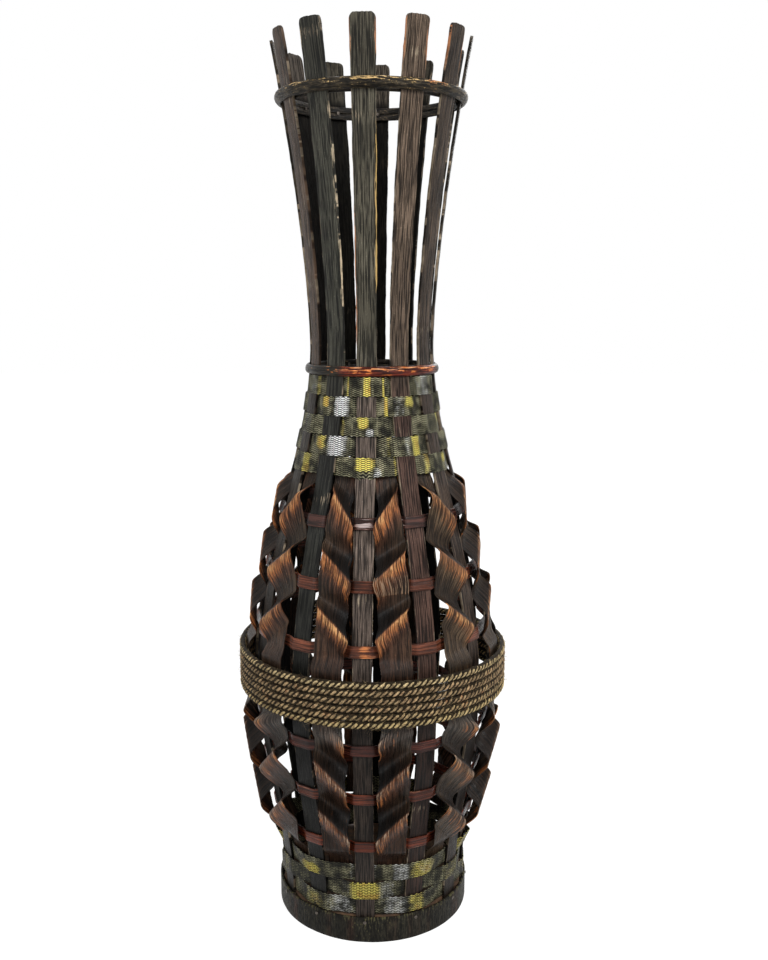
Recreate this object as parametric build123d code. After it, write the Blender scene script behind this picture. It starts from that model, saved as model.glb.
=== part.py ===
from build123d import *
import math
import os

# A floor vase of upright bamboo slats, bound by ribbons, splints, hoops and a rope.
# Millimetres, Z up. The origin is the middle of the foot, on the floor.
# Azimuth 0 is the front, on the -Y side, and azimuths grow towards +X.

# The wall in four stretches from the floor up: their heights, and the radii that the outer faces
# of the slats reach at their ends
foot_height = 21.5
belly_rise = 178.5
neck_rise = 272.0
mouth_rise = 228.0
foot_radius = 77.0
belly_radius = 98.0
neck_radius = 48.9
mouth_radius = 77.3
# Plain numbers that bend the two upper stretches of the wall
shoulder_power = 1.06
flare_power = 1.5

# The slats, a whole number of pairs because the ribbons weave over one and under the next
slat_pairs = 6
slat_width = 15.5
slat_top_width = 19.0
slat_thickness = 2.5
slat_corner = 4.0
slat_end_step = 4.5
slat_end_shares = (0.4, 0.1, 0.0, 0.1, 0.0, 0.1, 0.3, 0.6, 0.9, 1.0, 0.9, 0.7)
first_azimuth = -94.0

# Gap between pieces that are wound or woven against each other
clearance = 0.3
# How far a cutting tool runs past what it cuts
overrun = 5.0

# The base: a board between the feet of the slats and a band round them
board_thickness = 18.0
board_lift = 2.0
band_thickness = 2.0

# The woven ribbons of the foot and of the neck
ribbon_width = 14.5
ribbon_thickness = 0.6
foot_ribbons = 3
neck_ribbons = 5
ribbon_swell = 5.0
ribbon_swell_shares = (1.0, 0.3, 0.0, 0.0, 0.3, 1.0, 1.0, 0.3, 0.0, 0.0, 0.3, 1.0)

# Half-round hoops outside the slats and flat hoops inside them, at the neck and below the slats' tops
neck_hoop_height = 7.8
neck_hoop_depth = 2.6
neck_hoop_drop = 20.3
rim_hoop_height = 8.8
rim_hoop_depth = 3.7
rim_hoop_drop = 45.2
rim_inner_height = 10.4
inner_hoop_depth = 2.5

# The narrow weavers that cross over the slats, as shares of the height of the belly weave
weaver_height = 9.0
weaver_thickness = 1.0
weaver_dip = 1.6
row_shares = (0.892, 0.744, 0.590, 0.470, 0.338, 0.199, 0.059)
rope_row = 3

# The curled splints, one between each two slats
splint_thickness = 0.9
splint_neck_width = 17.5
splint_width = 25.0
splint_foot_width = 22.0
splint_pinch = 6.0
splint_sway = 4.0
splint_tail = 12.0
upper_crest = 8.8
lower_crest = 12.6
valley_depth = 4.0
splint_line_shares = (-1.0, -0.5, 0.0, 0.5, 1.0)
upper_crest_lift = 10.0
lower_crest_lift = 19.0
crest_tilt = 12.0
crest_rest_run = 16.0
rope_rest_rise = 10.0
foot_rest_drop = 10.0
tuck_depth = 4.9
neck_tuck_run = 16.0
foot_tuck_run = 12.5
foot_tuck_rise = 2.0
rope_seat_run = 13.0

# The rope, six turns of one length
rope_diameter = 5.7
rope_pitch = 6.15
rope_turns = 6

# Nails: from inside through each hoop, with a skin left over their tips, and from outside into the board
nail_diameter = 1.2
nail_head_diameter = 2.6
nail_head_thickness = 0.5
nail_fit = 0.1
nail_skin = 0.6
base_nail_length = 20.0
base_nail_drop = 2.5

# Heights and counts that follow from the sizes above
belly_height = foot_height + belly_rise
neck_height = belly_height + neck_rise
slat_length = neck_height + mouth_rise
neck_hoop_middle = neck_height - neck_hoop_drop
rim_hoop_middle = slat_length - rim_hoop_drop
slat_count = 2 * slat_pairs
step_angle = 360.0 / slat_count
ribbon_pitch = ribbon_width + clearance
foot_weave_top = foot_height + clearance + foot_ribbons * ribbon_pitch
neck_hoop_low = neck_hoop_middle - neck_hoop_height / 2
neck_weave_top = neck_hoop_low - clearance
neck_weave_low = neck_weave_top - neck_ribbons * ribbon_pitch
belly_span = neck_weave_low - foot_weave_top
row_heights = [foot_weave_top + share * belly_span for share in row_shares]
rope_middle = row_heights[rope_row]
rope_low = rope_middle - rope_turns * rope_pitch / 2 - rope_diameter / 2
rope_high = rope_middle + rope_turns * rope_pitch / 2 + rope_diameter / 2


def ease(share):
    """Smooth run from 0 to 1."""
    held = min(max(share, 0.0), 1.0)
    return (1 - math.cos(math.pi * held)) / 2


def wall_radius(height):
    """Distance from the axis to the outer faces of the slats at a height."""
    if height <= foot_height:
        return foot_radius
    if height <= belly_height:
        climb = (height - foot_height) / (belly_height - foot_height)
        return foot_radius + (belly_radius - foot_radius) * ease(climb)
    if height <= neck_height:
        climb = (height - belly_height) / (neck_height - belly_height)
        return belly_radius + (neck_radius - belly_radius) * ease(climb**shoulder_power)
    climb = (height - neck_height) / (slat_length - neck_height)
    return neck_radius + (mouth_radius - neck_radius) * climb**flare_power


def slat_half_width(height):
    """Half the width of a slat, which grows only above the neck."""
    climb = max(0.0, (height - neck_height) / (slat_length - neck_height))
    return (slat_width + (slat_top_width - slat_width) * climb) / 2


def slat_azimuth(index):
    """Azimuth of a slat in degrees."""
    return first_azimuth + index * step_angle


def turned(shape, azimuth):
    """A shape modelled along +X, turned to its azimuth."""
    return Rot(0, 0, azimuth - 90) * shape


def plan_point(azimuth, outward, sideways, height):
    """A point seen from a slat or a gap: distance out from the axis, and sideways of it."""
    angle = math.radians(azimuth - 90)
    x = outward * math.cos(angle) - sideways * math.sin(angle)
    y = outward * math.sin(angle) + sideways * math.cos(angle)
    return (x, y, height)


def radial_rod(radius, start, end, height):
    """A round rod along +X between two distances from the axis."""
    rod = Cylinder(radius, end - start, align=(Align.CENTER, Align.CENTER, Align.MIN))
    return Pos(start, 0, height) * Rot(0, 90, 0) * rod


def save(name, shape):
    """Write one node."""
    shape.label = name
    export_step(shape, f"parts/{name}.step")


# Nails: each hoop has one at every slat, its head inside, and the band one, its head outside

nail_radius = nail_diameter / 2
hole_radius = nail_radius + nail_fit
base_nail_height = board_lift + board_thickness - base_nail_drop


def corner_radius(height):
    """Distance from the axis to the outer corners of the slats."""
    return math.hypot(wall_radius(height), slat_half_width(height))


def hoop_inside(middle, hoop_height):
    """Inner radius of an outer hoop at its low and its high edge."""
    low = corner_radius(middle - hoop_height / 2) + clearance
    high = corner_radius(middle + hoop_height / 2) + clearance
    return low, high


def inner_hoop_outside(middle, hoop_height):
    """Outer radius of an inner hoop at its low and its high edge."""
    gap = slat_thickness + clearance
    return wall_radius(middle - hoop_height / 2) - gap, wall_radius(middle + hoop_height / 2) - gap


def hoop_nail_ends(middle, outer_height, outer_depth, inner_height):
    """Where the head of a hoop nail sits inside, and where its tip ends in the outer hoop."""
    low, high = inner_hoop_outside(middle, inner_height)
    lean = abs(high - low) / inner_height
    seat = (low + high) / 2 - inner_hoop_depth - lean * nail_head_diameter / 2 - nail_fit
    tip = sum(hoop_inside(middle, outer_height)) / 2 + outer_depth - nail_skin
    return seat, tip


rim_ends = hoop_nail_ends(rim_hoop_middle, rim_hoop_height, rim_hoop_depth, rim_inner_height)
neck_ends = hoop_nail_ends(neck_hoop_middle, neck_hoop_height, neck_hoop_depth, neck_hoop_height)
band_inside = math.hypot(foot_radius, slat_width / 2) + clearance
base_seat = band_inside + band_thickness + nail_fit
nail_rows = {
    "rim_nails": (*rim_ends, rim_hoop_middle),
    "neck_nails": (*neck_ends, neck_hoop_middle),
    "base_nails": (base_seat, base_seat - base_nail_length, base_nail_height),
}


def nail(seat, tip, height):
    """One nail along +X, with its head at the seat."""
    shank = radial_rod(nail_radius, min(seat, tip), max(seat, tip), height)
    top = seat + math.copysign(nail_head_thickness, seat - tip)
    head = radial_rod(nail_head_diameter / 2, min(seat, top), max(seat, top), height)
    return shank + head


def nail_hole(seat, tip, height):
    """The room that one nail needs, open past its head."""
    start = seat + math.copysign(overrun, seat - tip)
    end = tip - math.copysign(nail_fit, seat - tip)
    return radial_rod(hole_radius, min(start, end), max(start, end), height)


def drilled_all_round(shape, row):
    """A ring or board with a nail hole at every slat."""
    for index in range(slat_count):
        shape -= turned(nail_hole(*nail_rows[row]), slat_azimuth(index))
    return shape


# Slats: a strip bent along the wall, cut to its tapered outline, with round top corners


def slat_side(setback, top):
    """Edges of the wall curve, set back from the outer face, from the floor to the slat's top."""
    stations = 20
    rise = (top - foot_height) / stations
    places = [foot_height + rise * index for index in range(stations + 1)]
    lean = (wall_radius(top) - wall_radius(top - rise)) / rise
    points = [(wall_radius(place) - setback, 0, place) for place in places]
    foot = Line((foot_radius - setback, 0, 0), points[0])
    curve = Spline(*points, tangents=[(0, 0, 1), (lean, 0, 1)])
    return foot, curve


def slat(top):
    """One slat along +X with its nail holes."""
    outer_foot, outer = slat_side(0, top)
    inner_foot, inner = slat_side(slat_thickness, top)
    edges = [outer_foot, outer, Line(outer @ 1, inner @ 1), inner, inner_foot]
    edges.append(Line(inner_foot @ 0, outer_foot @ 0))
    side = make_face(edges)
    strip = extrude(side, slat_top_width, both=True)
    wide = slat_half_width(top)
    narrow = slat_width / 2
    right = [(narrow, 0), (narrow, neck_height), (wide, top)]
    left = [(-side, height) for side, height in reversed(right)]
    outline = make_face(Plane.YZ * Polyline(*right, *left, close=True))
    outline = fillet(outline.vertices().group_by(Axis.Z)[-1], slat_corner)
    cutter = extrude(outline, belly_radius + mouth_radius)
    shape = strip & cutter
    for nail_row in nail_rows.values():
        shape -= nail_hole(*nail_row)
    return shape


# Rings woven round the slats: each is a closed polygon in plan, lofted from edge to edge


def ring(low, high, thickness, route):
    """A closed band between two heights, with the route of its inner face given in plan."""
    walls = []
    for outward in (thickness, 0):
        faces = [make_face(Polyline(*route(height, outward), close=True)) for height in (low, high)]
        walls.append(loft(faces, ruled=True))
    return walls[0] - walls[1]


def ribbon_route(first_over):
    """Route of a ribbon that lies over every second slat and under the others."""

    def route(height, outward):
        points = []
        side = slat_width / 2 + clearance
        over = wall_radius(height) + clearance
        under = wall_radius(height) - slat_thickness - clearance - ribbon_thickness
        for index in range(slat_count):
            place = over if index % 2 == first_over else under
            points.append(plan_point(slat_azimuth(index), place + outward, -side, height))
            points.append(plan_point(slat_azimuth(index), place + outward, side, height))
        return points

    return route


def swollen_route(first_over, swell_height):
    """The same route, but its edge at one height is pushed out between the slats by the splints."""
    flat_route = ribbon_route(first_over)
    half_foot = (splint_foot_width - splint_pinch) / 2

    def route(height, outward):
        flat = flat_route(height, outward)
        points = []
        for index in range(slat_count):
            start = Vector(*flat[2 * index + 1])
            end = Vector(*flat[(2 * index + 2) % len(flat)])
            middle = slat_azimuth(index) + step_angle / 2
            push = ribbon_swell * ribbon_swell_shares[index % len(ribbon_swell_shares)]
            if height != swell_height:
                push = 0.0
            out = Vector(*plan_point(middle, push, 0, 0))
            span = (end - start).length
            share = 0.5 - half_foot / span
            points += [flat[2 * index], flat[2 * index + 1]]
            for along in (share, 1 - share):
                spot = start + (end - start) * along + out
                points.append((spot.X, spot.Y, height))
        return points

    return route


def weaver_route(row):
    """Route of a weaver that lies over every slat and dips under every splint."""

    def route(height, outward):
        points = []
        side = slat_width / 2 + clearance
        over = wall_radius(height) + clearance + outward
        dip = wall_radius(height) - weaver_dip - weaver_thickness + outward
        reach = splint_half_width(row) + clearance
        for index in range(slat_count):
            azimuth = slat_azimuth(index)
            points.append(plan_point(azimuth, over, -side, height))
            points.append(plan_point(azimuth, over, side, height))
            points.append(plan_point(azimuth + step_angle / 2, dip, -reach, height))
            points.append(plan_point(azimuth + step_angle / 2, dip, reach, height))
        return points

    return route


# Curled splints: thin strips that wave out over the weavers, their crests running aslant


def row_turn(height):
    """Whole number at each weaver row and growing downwards, with fractions between."""
    last = len(row_heights) - 2
    for index in range(last + 1):
        if height >= row_heights[index + 1] or index == last:
            spacing = row_heights[index] - row_heights[index + 1]
            return index + (row_heights[index] - height) / spacing


def splint_half_width(height):
    """Half the width of a splint, narrow where it slips between the slats at the neck."""
    below = ease((neck_weave_low - neck_tuck_run - height) / (row_heights[0] - row_heights[1]))
    foot = ease((row_heights[-2] - height) / (row_heights[-2] - foot_weave_top))
    width = splint_neck_width + (splint_width - splint_neck_width) * below
    return (width - (splint_width - splint_foot_width) * foot) / 2


rope_inside = math.hypot(belly_radius + (upper_crest + lower_crest) / 4, splint_width / 2)
rope_radius = rope_inside + clearance + rope_diameter / 2
rope_seat = math.sqrt(rope_inside**2 - (splint_width / 2) ** 2)


def crest_at(height, across, hand):
    """How much of a crest a splint has, across from -1 to 1, with none just above rope and foot."""
    lower_share = ease((row_heights[0] - height) / (row_heights[0] - row_heights[rope_row - 1]))
    lift = upper_crest_lift + (lower_crest_lift - upper_crest_lift) * lower_share
    turn = row_turn(height - lift - crest_tilt * across * hand)
    rest = rope_high + rope_rest_rise if height > rope_middle else row_heights[-1] - foot_rest_drop
    return (1 + math.cos(2 * math.pi * turn)) / 2 * ease((height - rest) / crest_rest_run)


def held_at(height):
    """How much the rope, the neck's tuck and the foot's tuck each hold a splint."""
    above = (height - rope_high) / rope_seat_run
    under = (rope_low - height) / rope_seat_run
    rope_share = 1 - ease(max(above, under))
    neck_share = ease((height - neck_weave_low + clearance + neck_tuck_run) / neck_tuck_run)
    foot_share = ease((foot_weave_top + foot_tuck_rise + foot_tuck_run - height) / foot_tuck_run)
    return rope_share, neck_share, foot_share


def splint_radius(height, across, hand, swell_share):
    """Distance of a splint's outer face from the axis, across from -1 to 1 over its width."""
    wall = wall_radius(height)
    crest_share = crest_at(height, across, hand)
    rope_share, neck_share, foot_share = held_at(height)
    below_rope = ease((rope_high - height) / (rope_high - rope_low))
    crest = upper_crest + (lower_crest - upper_crest) * below_rope
    valley = valley_depth * math.sin(math.pi * row_turn(height)) ** 2
    radius = wall + crest * crest_share - valley * (1 - crest_share)
    radius += (rope_seat - radius) * rope_share
    radius += (wall - tuck_depth - radius) * neck_share
    climb = (height - foot_weave_top + ribbon_width) / ribbon_width
    push = ribbon_swell * swell_share * min(max(climb, 0.0), 1.0)
    radius += (wall - tuck_depth + push - radius) * foot_share
    return radius


def splint_sideways(height, across, hand, half):
    """Place of a splint across its gap: each crest sways towards its low side."""
    rope_share, neck_share, foot_share = held_at(height)
    free_share = (1 - rope_share) * (1 - neck_share) * (1 - foot_share)
    sway = splint_sway * crest_at(height, across, hand) ** 2 * free_share
    return half * across - hand * sway


def curled_splint(index):
    """One splint, along +X, in the gap after the slat of this index."""
    hand = -1 if index % 2 == 0 else 1
    swell_share = ribbon_swell_shares[index % len(ribbon_swell_shares)]
    low = foot_weave_top - splint_tail
    high = neck_weave_low + splint_tail
    stations = 72
    grid = []
    for station in range(stations + 1):
        height = low + (high - low) * station / stations
        half = splint_half_width(height)
        pinch_share = swell_share * ease((foot_weave_top + foot_tuck_run - height) / foot_tuck_run)
        half -= splint_pinch / 2 * pinch_share
        line = []
        for across in splint_line_shares:
            radius = splint_radius(height, across, hand, swell_share)
            line.append(Vector(radius, splint_sideways(height, across, hand, half), height))
        grid.append(line)
    face = Face.make_surface_from_array_of_points(grid, tol=splint_thickness / 9)
    return Solid.extrude(face, Vector(-splint_thickness, 0, 0))


# Hoops: one ring each, the outer ones half round


def outer_hoop(middle, hoop_height, depth):
    """A half-round hoop whose flat back leans with the slats."""
    low_radius, high_radius = hoop_inside(middle, hoop_height)
    low = (low_radius, 0, middle - hoop_height / 2)
    high = (high_radius, 0, middle + hoop_height / 2)
    crown = ((low_radius + high_radius) / 2 + depth, 0, middle)
    section = make_face([Line(low, high), ThreePointArc(high, crown, low)])
    return revolve(section, Axis.Z)


def inner_hoop(middle, hoop_height):
    """A flat hoop that leans with the inner faces of the slats."""
    low_radius, high_radius = inner_hoop_outside(middle, hoop_height)
    low = middle - hoop_height / 2
    high = middle + hoop_height / 2
    corners = [(low_radius, 0, low), (high_radius, 0, high)]
    corners += [(high_radius - inner_hoop_depth, 0, high), (low_radius - inner_hoop_depth, 0, low)]
    return revolve(make_face(Polyline(*corners, close=True)), Axis.Z)


# Rope: half turns, each a half circle in its own tilted plane, with level joints between them


def rope_spot(half_turns, height_shift=0.0):
    """A point of the rope's middle line at a whole number of half turns from its start."""
    side = 1 if half_turns % 2 == 0 else -1
    height = rope_middle + (half_turns / 2 - rope_turns / 2) * rope_pitch
    return Vector(0, side * rope_radius, height + height_shift)


def rope_path():
    """The rope's middle line, straight for one diameter at each end."""
    edges = []
    for half in range(2 * rope_turns):
        start = rope_spot(half)
        end = rope_spot(half + 1)
        centre = (start + end) / 2
        side = 1 if half % 2 == 0 else -1
        bulge = centre + Vector(side * (end - start).length / 2, 0, 0)
        edges.append(ThreePointArc(start, bulge, end))
    lead = Line(rope_spot(0) - Vector(rope_diameter, 0, 0), rope_spot(0))
    tail = Line(rope_spot(2 * rope_turns), rope_spot(2 * rope_turns) - Vector(rope_diameter, 0, 0))
    return Wire([lead, *edges, tail])


def rope_least_gap():
    """Least gap between neighbouring turns, measured on points of the middle line."""
    marks = 24
    spots = []
    for half in range(2 * rope_turns):
        for mark in range(marks):
            angle = math.pi * mark / marks
            base = rope_spot(half)
            rise = rope_pitch / 4 * (1 - math.cos(angle))
            side = 1 if half % 2 == 0 else -1
            across = side * rope_radius * math.sin(angle)
            along = side * rope_radius * math.cos(angle)
            spots.append(Vector(across, along, base.Z + rise))
    gaps = []
    for place, spot in enumerate(spots):
        gaps += [(other - spot).length for other in spots[place + marks:]]
    return min(gaps) - rope_diameter


os.makedirs("parts", exist_ok=True)

# Base
board_flat = foot_radius - slat_thickness
board = extrude(RegularPolygon(board_flat, slat_count, major_radius=False), board_thickness)
board = turned(Pos(0, 0, board_lift) * board, first_azimuth + step_angle / 2)
save("base_board", drilled_all_round(board, "base_nails"))

band = Cylinder(band_inside + band_thickness, foot_height, align=(Align.CENTER, Align.CENTER, Align.MIN))
band -= Cylinder(band_inside, foot_height, align=(Align.CENTER, Align.CENTER, Align.MIN))
save("base_band", drilled_all_round(band, "base_nails"))

# Slats
for index in range(slat_count):
    end_share = slat_end_shares[index % len(slat_end_shares)]
    shape = slat(slat_length - slat_end_step * end_share)
    save(f"slat_{index + 1:02d}", turned(shape, slat_azimuth(index)))

# Foot ribbons, numbered from the floor
for index in range(foot_ribbons):
    low = foot_height + clearance + index * ribbon_pitch
    high = low + ribbon_width
    over = index % 2
    route = swollen_route(over, high) if index == foot_ribbons - 1 else ribbon_route(over)
    save(f"foot_ribbon_{index + 1}", ring(low, high, ribbon_thickness, route))

# Neck ribbons, numbered from the neck hoop down
for index in range(neck_ribbons):
    high = neck_weave_top - index * ribbon_pitch
    route = ribbon_route((index + 1) % 2)
    save(f"neck_ribbon_{index + 1}", ring(high - ribbon_width, high, ribbon_thickness, route))

# Weavers, numbered from the top, with the rope in the place of one
weaver_rows = [height for index, height in enumerate(row_heights) if index != rope_row]
for index, row in enumerate(weaver_rows):
    shape = ring(row - weaver_height / 2, row + weaver_height / 2, weaver_thickness, weaver_route(row))
    save(f"weaver_{index + 1}", shape)

# Curled splints
for index in range(slat_count):
    middle = slat_azimuth(index) + step_angle / 2
    save(f"curled_splint_{index + 1:02d}", turned(curled_splint(index), middle))

# Hoops
rim_hoop = outer_hoop(rim_hoop_middle, rim_hoop_height, rim_hoop_depth)
save("rim_hoop_outer", drilled_all_round(rim_hoop, "rim_nails"))
save("rim_hoop_inner", drilled_all_round(inner_hoop(rim_hoop_middle, rim_inner_height), "rim_nails"))
neck_hoop = outer_hoop(neck_hoop_middle, neck_hoop_height, neck_hoop_depth)
save("neck_hoop_outer", drilled_all_round(neck_hoop, "neck_nails"))
save("neck_hoop_inner", drilled_all_round(inner_hoop(neck_hoop_middle, neck_hoop_height), "neck_nails"))

# Rope
path = rope_path()
rope_section = Plane(origin=path @ 0, z_dir=path % 0) * Circle(rope_diameter / 2)
rope = sweep(rope_section, path=path)
save("rope_binding", rope)
rope_length = path.length
expected = math.pi * (rope_diameter / 2) ** 2 * rope_length
print("rope length", round(rope_length), "volume share", round(rope.volume / expected, 4))
print("rope least gap", round(rope_least_gap(), 3))

# Nails
for name, nail_row in nail_rows.items():
    nails = [turned(nail(*nail_row), slat_azimuth(index)) for index in range(slat_count)]
    save(name, Compound(children=nails))
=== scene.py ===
"""Looks of a tall bamboo vase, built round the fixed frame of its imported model.

Slats rise from a banded base to an open mouth. Woven ribbons, curled splints, thin weavers, two
pairs of hoops and a rope hold them. Lengths are in metres, Z is up, and the origin is the middle
of the foot. Azimuth 0 is the front, on the -Y side, and azimuths grow towards +X.
"""

import logging
import math
from dataclasses import dataclass, field
from enum import Enum, IntEnum

import bpy
import numpy as np
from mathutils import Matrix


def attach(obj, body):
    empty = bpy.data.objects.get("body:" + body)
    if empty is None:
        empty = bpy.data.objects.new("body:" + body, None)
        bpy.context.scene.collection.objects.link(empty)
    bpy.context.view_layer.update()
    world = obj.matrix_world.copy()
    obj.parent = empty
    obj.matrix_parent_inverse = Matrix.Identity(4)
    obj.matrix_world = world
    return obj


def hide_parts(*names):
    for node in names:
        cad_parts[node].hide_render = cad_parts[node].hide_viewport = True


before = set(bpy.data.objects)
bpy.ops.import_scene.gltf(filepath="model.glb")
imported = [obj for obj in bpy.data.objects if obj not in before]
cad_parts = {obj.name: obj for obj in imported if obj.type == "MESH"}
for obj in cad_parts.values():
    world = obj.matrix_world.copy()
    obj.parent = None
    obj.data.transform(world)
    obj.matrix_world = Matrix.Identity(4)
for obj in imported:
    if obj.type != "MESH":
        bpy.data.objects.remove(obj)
logging.basicConfig(level=logging.INFO, format="%(message)s")
log = logging.getLogger("bamboo_vase")

MM = 0.001
TURN = 2 * math.pi
Colour = tuple[float, float, float]
Socket = bpy.types.NodeSocket


def dye(red: float, green: float, blue: float) -> Colour:
    """A colour written as it shows on a screen, from 0 to 255, as linear light.

    Args:
        red, green, blue: The three screen values.

    Returns:
        The colour that a shader takes.
    """
    parts = []
    for value in (red, green, blue):
        share = value / 255
        parts.append(share / 12.92 if share <= 0.04045 else ((share + 0.055) / 1.055) ** 2.4)
    return (parts[0], parts[1], parts[2])


def tint(red: float, green: float, blue: float) -> np.ndarray:
    """A dye as an array, for colours that are worked out point by point."""
    return np.array(dye(red, green, blue))


def toward(start: np.ndarray, end: np.ndarray, share: np.ndarray) -> np.ndarray:
    """Colours of a grid of points, each a share of the way from one colour to another."""
    return start + (end - start) * share[..., None]


def ease(share: np.ndarray) -> np.ndarray:
    """Smooth run from 0 to 1, held at both ends."""
    return (1 - np.cos(math.pi * np.clip(share, 0, 1))) / 2


def span(place: np.ndarray, low: float, high: float, run_in: float, run_out: float) -> np.ndarray:
    """1 from one place to another and 0 outside, with a smooth run at each end."""
    return ease((place - low) / run_in) - ease((place - high) / run_out)


def hump(place: np.ndarray, middle: float, reach: float) -> np.ndarray:
    """A smooth hump of height 1 at a place, gone a few reaches away."""
    return np.exp(-(((place - middle) / reach) ** 2))


def uneven(place: np.ndarray, wave: float, seed: int) -> np.ndarray:
    """Smooth, seeded unevenness along one line.

    Args:
        place: Where it is wanted.
        wave: Length of its longest wave, in the units of place.
        seed: Chooses the pattern.

    Returns:
        Values between about -1 and 1.
    """
    draw = np.random.default_rng(seed)
    total = np.zeros_like(place)
    for share in (1.0, 0.57, 0.31, 0.17):
        total += math.sqrt(share) * np.sin(TURN * place / (wave * share) + draw.uniform(0, TURN))
    return total / 2


@dataclass(frozen=True)
class Wall:
    """The line that the outer faces of the slats follow, and the places of the slats round it."""

    foot_height: float = 21.5 * MM
    belly_height: float = 200.0 * MM
    neck_height: float = 472.0 * MM
    top: float = 700.0 * MM
    foot_radius: float = 77.0 * MM
    belly_radius: float = 98.0 * MM
    neck_radius: float = 48.9 * MM
    mouth_radius: float = 77.3 * MM
    shoulder_power: float = 1.06
    flare_power: float = 1.5
    slat_count: int = 12
    slat_width: float = 15.5 * MM
    slat_top_width: float = 19.0 * MM
    slat_thickness: float = 2.5 * MM
    first_azimuth: float = -94.0
    clearance: float = 0.3 * MM

    def radius(self, height: np.ndarray) -> np.ndarray:
        """Distance of the slats' outer faces from the axis at each height."""
        low = (height - self.foot_height) / (self.belly_height - self.foot_height)
        middle = (height - self.belly_height) / (self.neck_height - self.belly_height)
        high = (height - self.neck_height) / (self.top - self.neck_height)
        at_foot = self.foot_radius + (self.belly_radius - self.foot_radius) * ease(low)
        shoulder = ease(np.clip(middle, 0, 1) ** self.shoulder_power)
        at_waist = self.belly_radius + (self.neck_radius - self.belly_radius) * shoulder
        flare = np.clip(high, 0, 2) ** self.flare_power
        at_mouth = self.neck_radius + (self.mouth_radius - self.neck_radius) * flare
        above_belly = np.where(height <= self.neck_height, at_waist, at_mouth)
        return np.where(height <= self.belly_height, at_foot, above_belly)

    def half_width(self, height: np.ndarray) -> np.ndarray:
        """Half the width of a slat at each height."""
        climb = np.clip((height - self.neck_height) / (self.top - self.neck_height), 0, 1)
        return (self.slat_width + (self.slat_top_width - self.slat_width) * climb) / 2

    def step(self) -> float:
        """Angle from one slat to the next, in degrees."""
        return 360 / self.slat_count

    def azimuth(self, index: float) -> float:
        """Azimuth of a slat, or of a place between slats, in degrees."""
        return self.first_azimuth + index * self.step()

    def corner_radius(self, height: float) -> float:
        """Distance of the slats' outer corners from the axis."""
        return math.hypot(float(self.radius(np.array(height))), float(self.half_width(np.array(height))))


WALL = Wall()


def plan(azimuth: np.ndarray, outward: np.ndarray, sideways: np.ndarray, height: np.ndarray) -> np.ndarray:
    """Points seen from a slat: distance out from the axis, sideways of it, and height.

    Args:
        azimuth: Azimuth of the slat or gap in degrees.
        outward: Distance from the axis.
        sideways: Distance to the side, towards growing azimuths.
        height: Height above the floor.

    Returns:
        Points, with x, y and z along the last axis.
    """
    angle = np.radians(np.asarray(azimuth, float) - 90)
    x = outward * np.cos(angle) - sideways * np.sin(angle)
    y = outward * np.sin(angle) + sideways * np.cos(angle)
    return np.stack(np.broadcast_arrays(x, y, np.asarray(height, float)), axis=-1)


def spread_flat(along_u: np.ndarray, along_v: np.ndarray) -> np.ndarray:
    """A UV map from its two lengths, either of which may be the same over a row or a column."""
    return np.stack(np.broadcast_arrays(along_u, along_v), axis=-1)


def met(points: np.ndarray, both_ways: bool = False) -> np.ndarray:
    """Points of a ring whose last place meets its first, and its last row too where both ways close."""
    points[:, -1] = points[:, 0]
    if both_ways:
        points[-1] = points[0]
    return points


def unit(vectors: np.ndarray) -> np.ndarray:
    """Vectors brought to length 1."""
    return vectors / np.linalg.norm(vectors, axis=-1, keepdims=True)


def away_from_axis(points: np.ndarray) -> np.ndarray:
    """Level directions from the axis out to points."""
    return unit(points * np.array([1.0, 1.0, 0.0]))


def square_to(vectors: np.ndarray, along: np.ndarray) -> np.ndarray:
    """Directions nearest to vectors that stand square to others of length 1."""
    return unit(vectors - (vectors * along).sum(-1, keepdims=True) * along)


def turned_from(azimuth: np.ndarray, start: float) -> np.ndarray:
    """How far azimuths lie past a start, from -180 to 180 degrees."""
    return (azimuth - start + 180) % 360 - 180


@dataclass
class Skin:
    """A surface as rows of points from low to high, with what each point carries.

    The places along a row run so that the surface faces outwards. A mark is a value at each row and
    place, or a colour there, and may be the same over a row, a column or the whole.
    """

    points: np.ndarray
    uv: np.ndarray
    marks: dict[str, np.ndarray] = field(default_factory=dict)

    def shape(self) -> tuple[int, int]:
        """Rows and places in each row."""
        return self.points.shape[0], self.points.shape[1]


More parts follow.
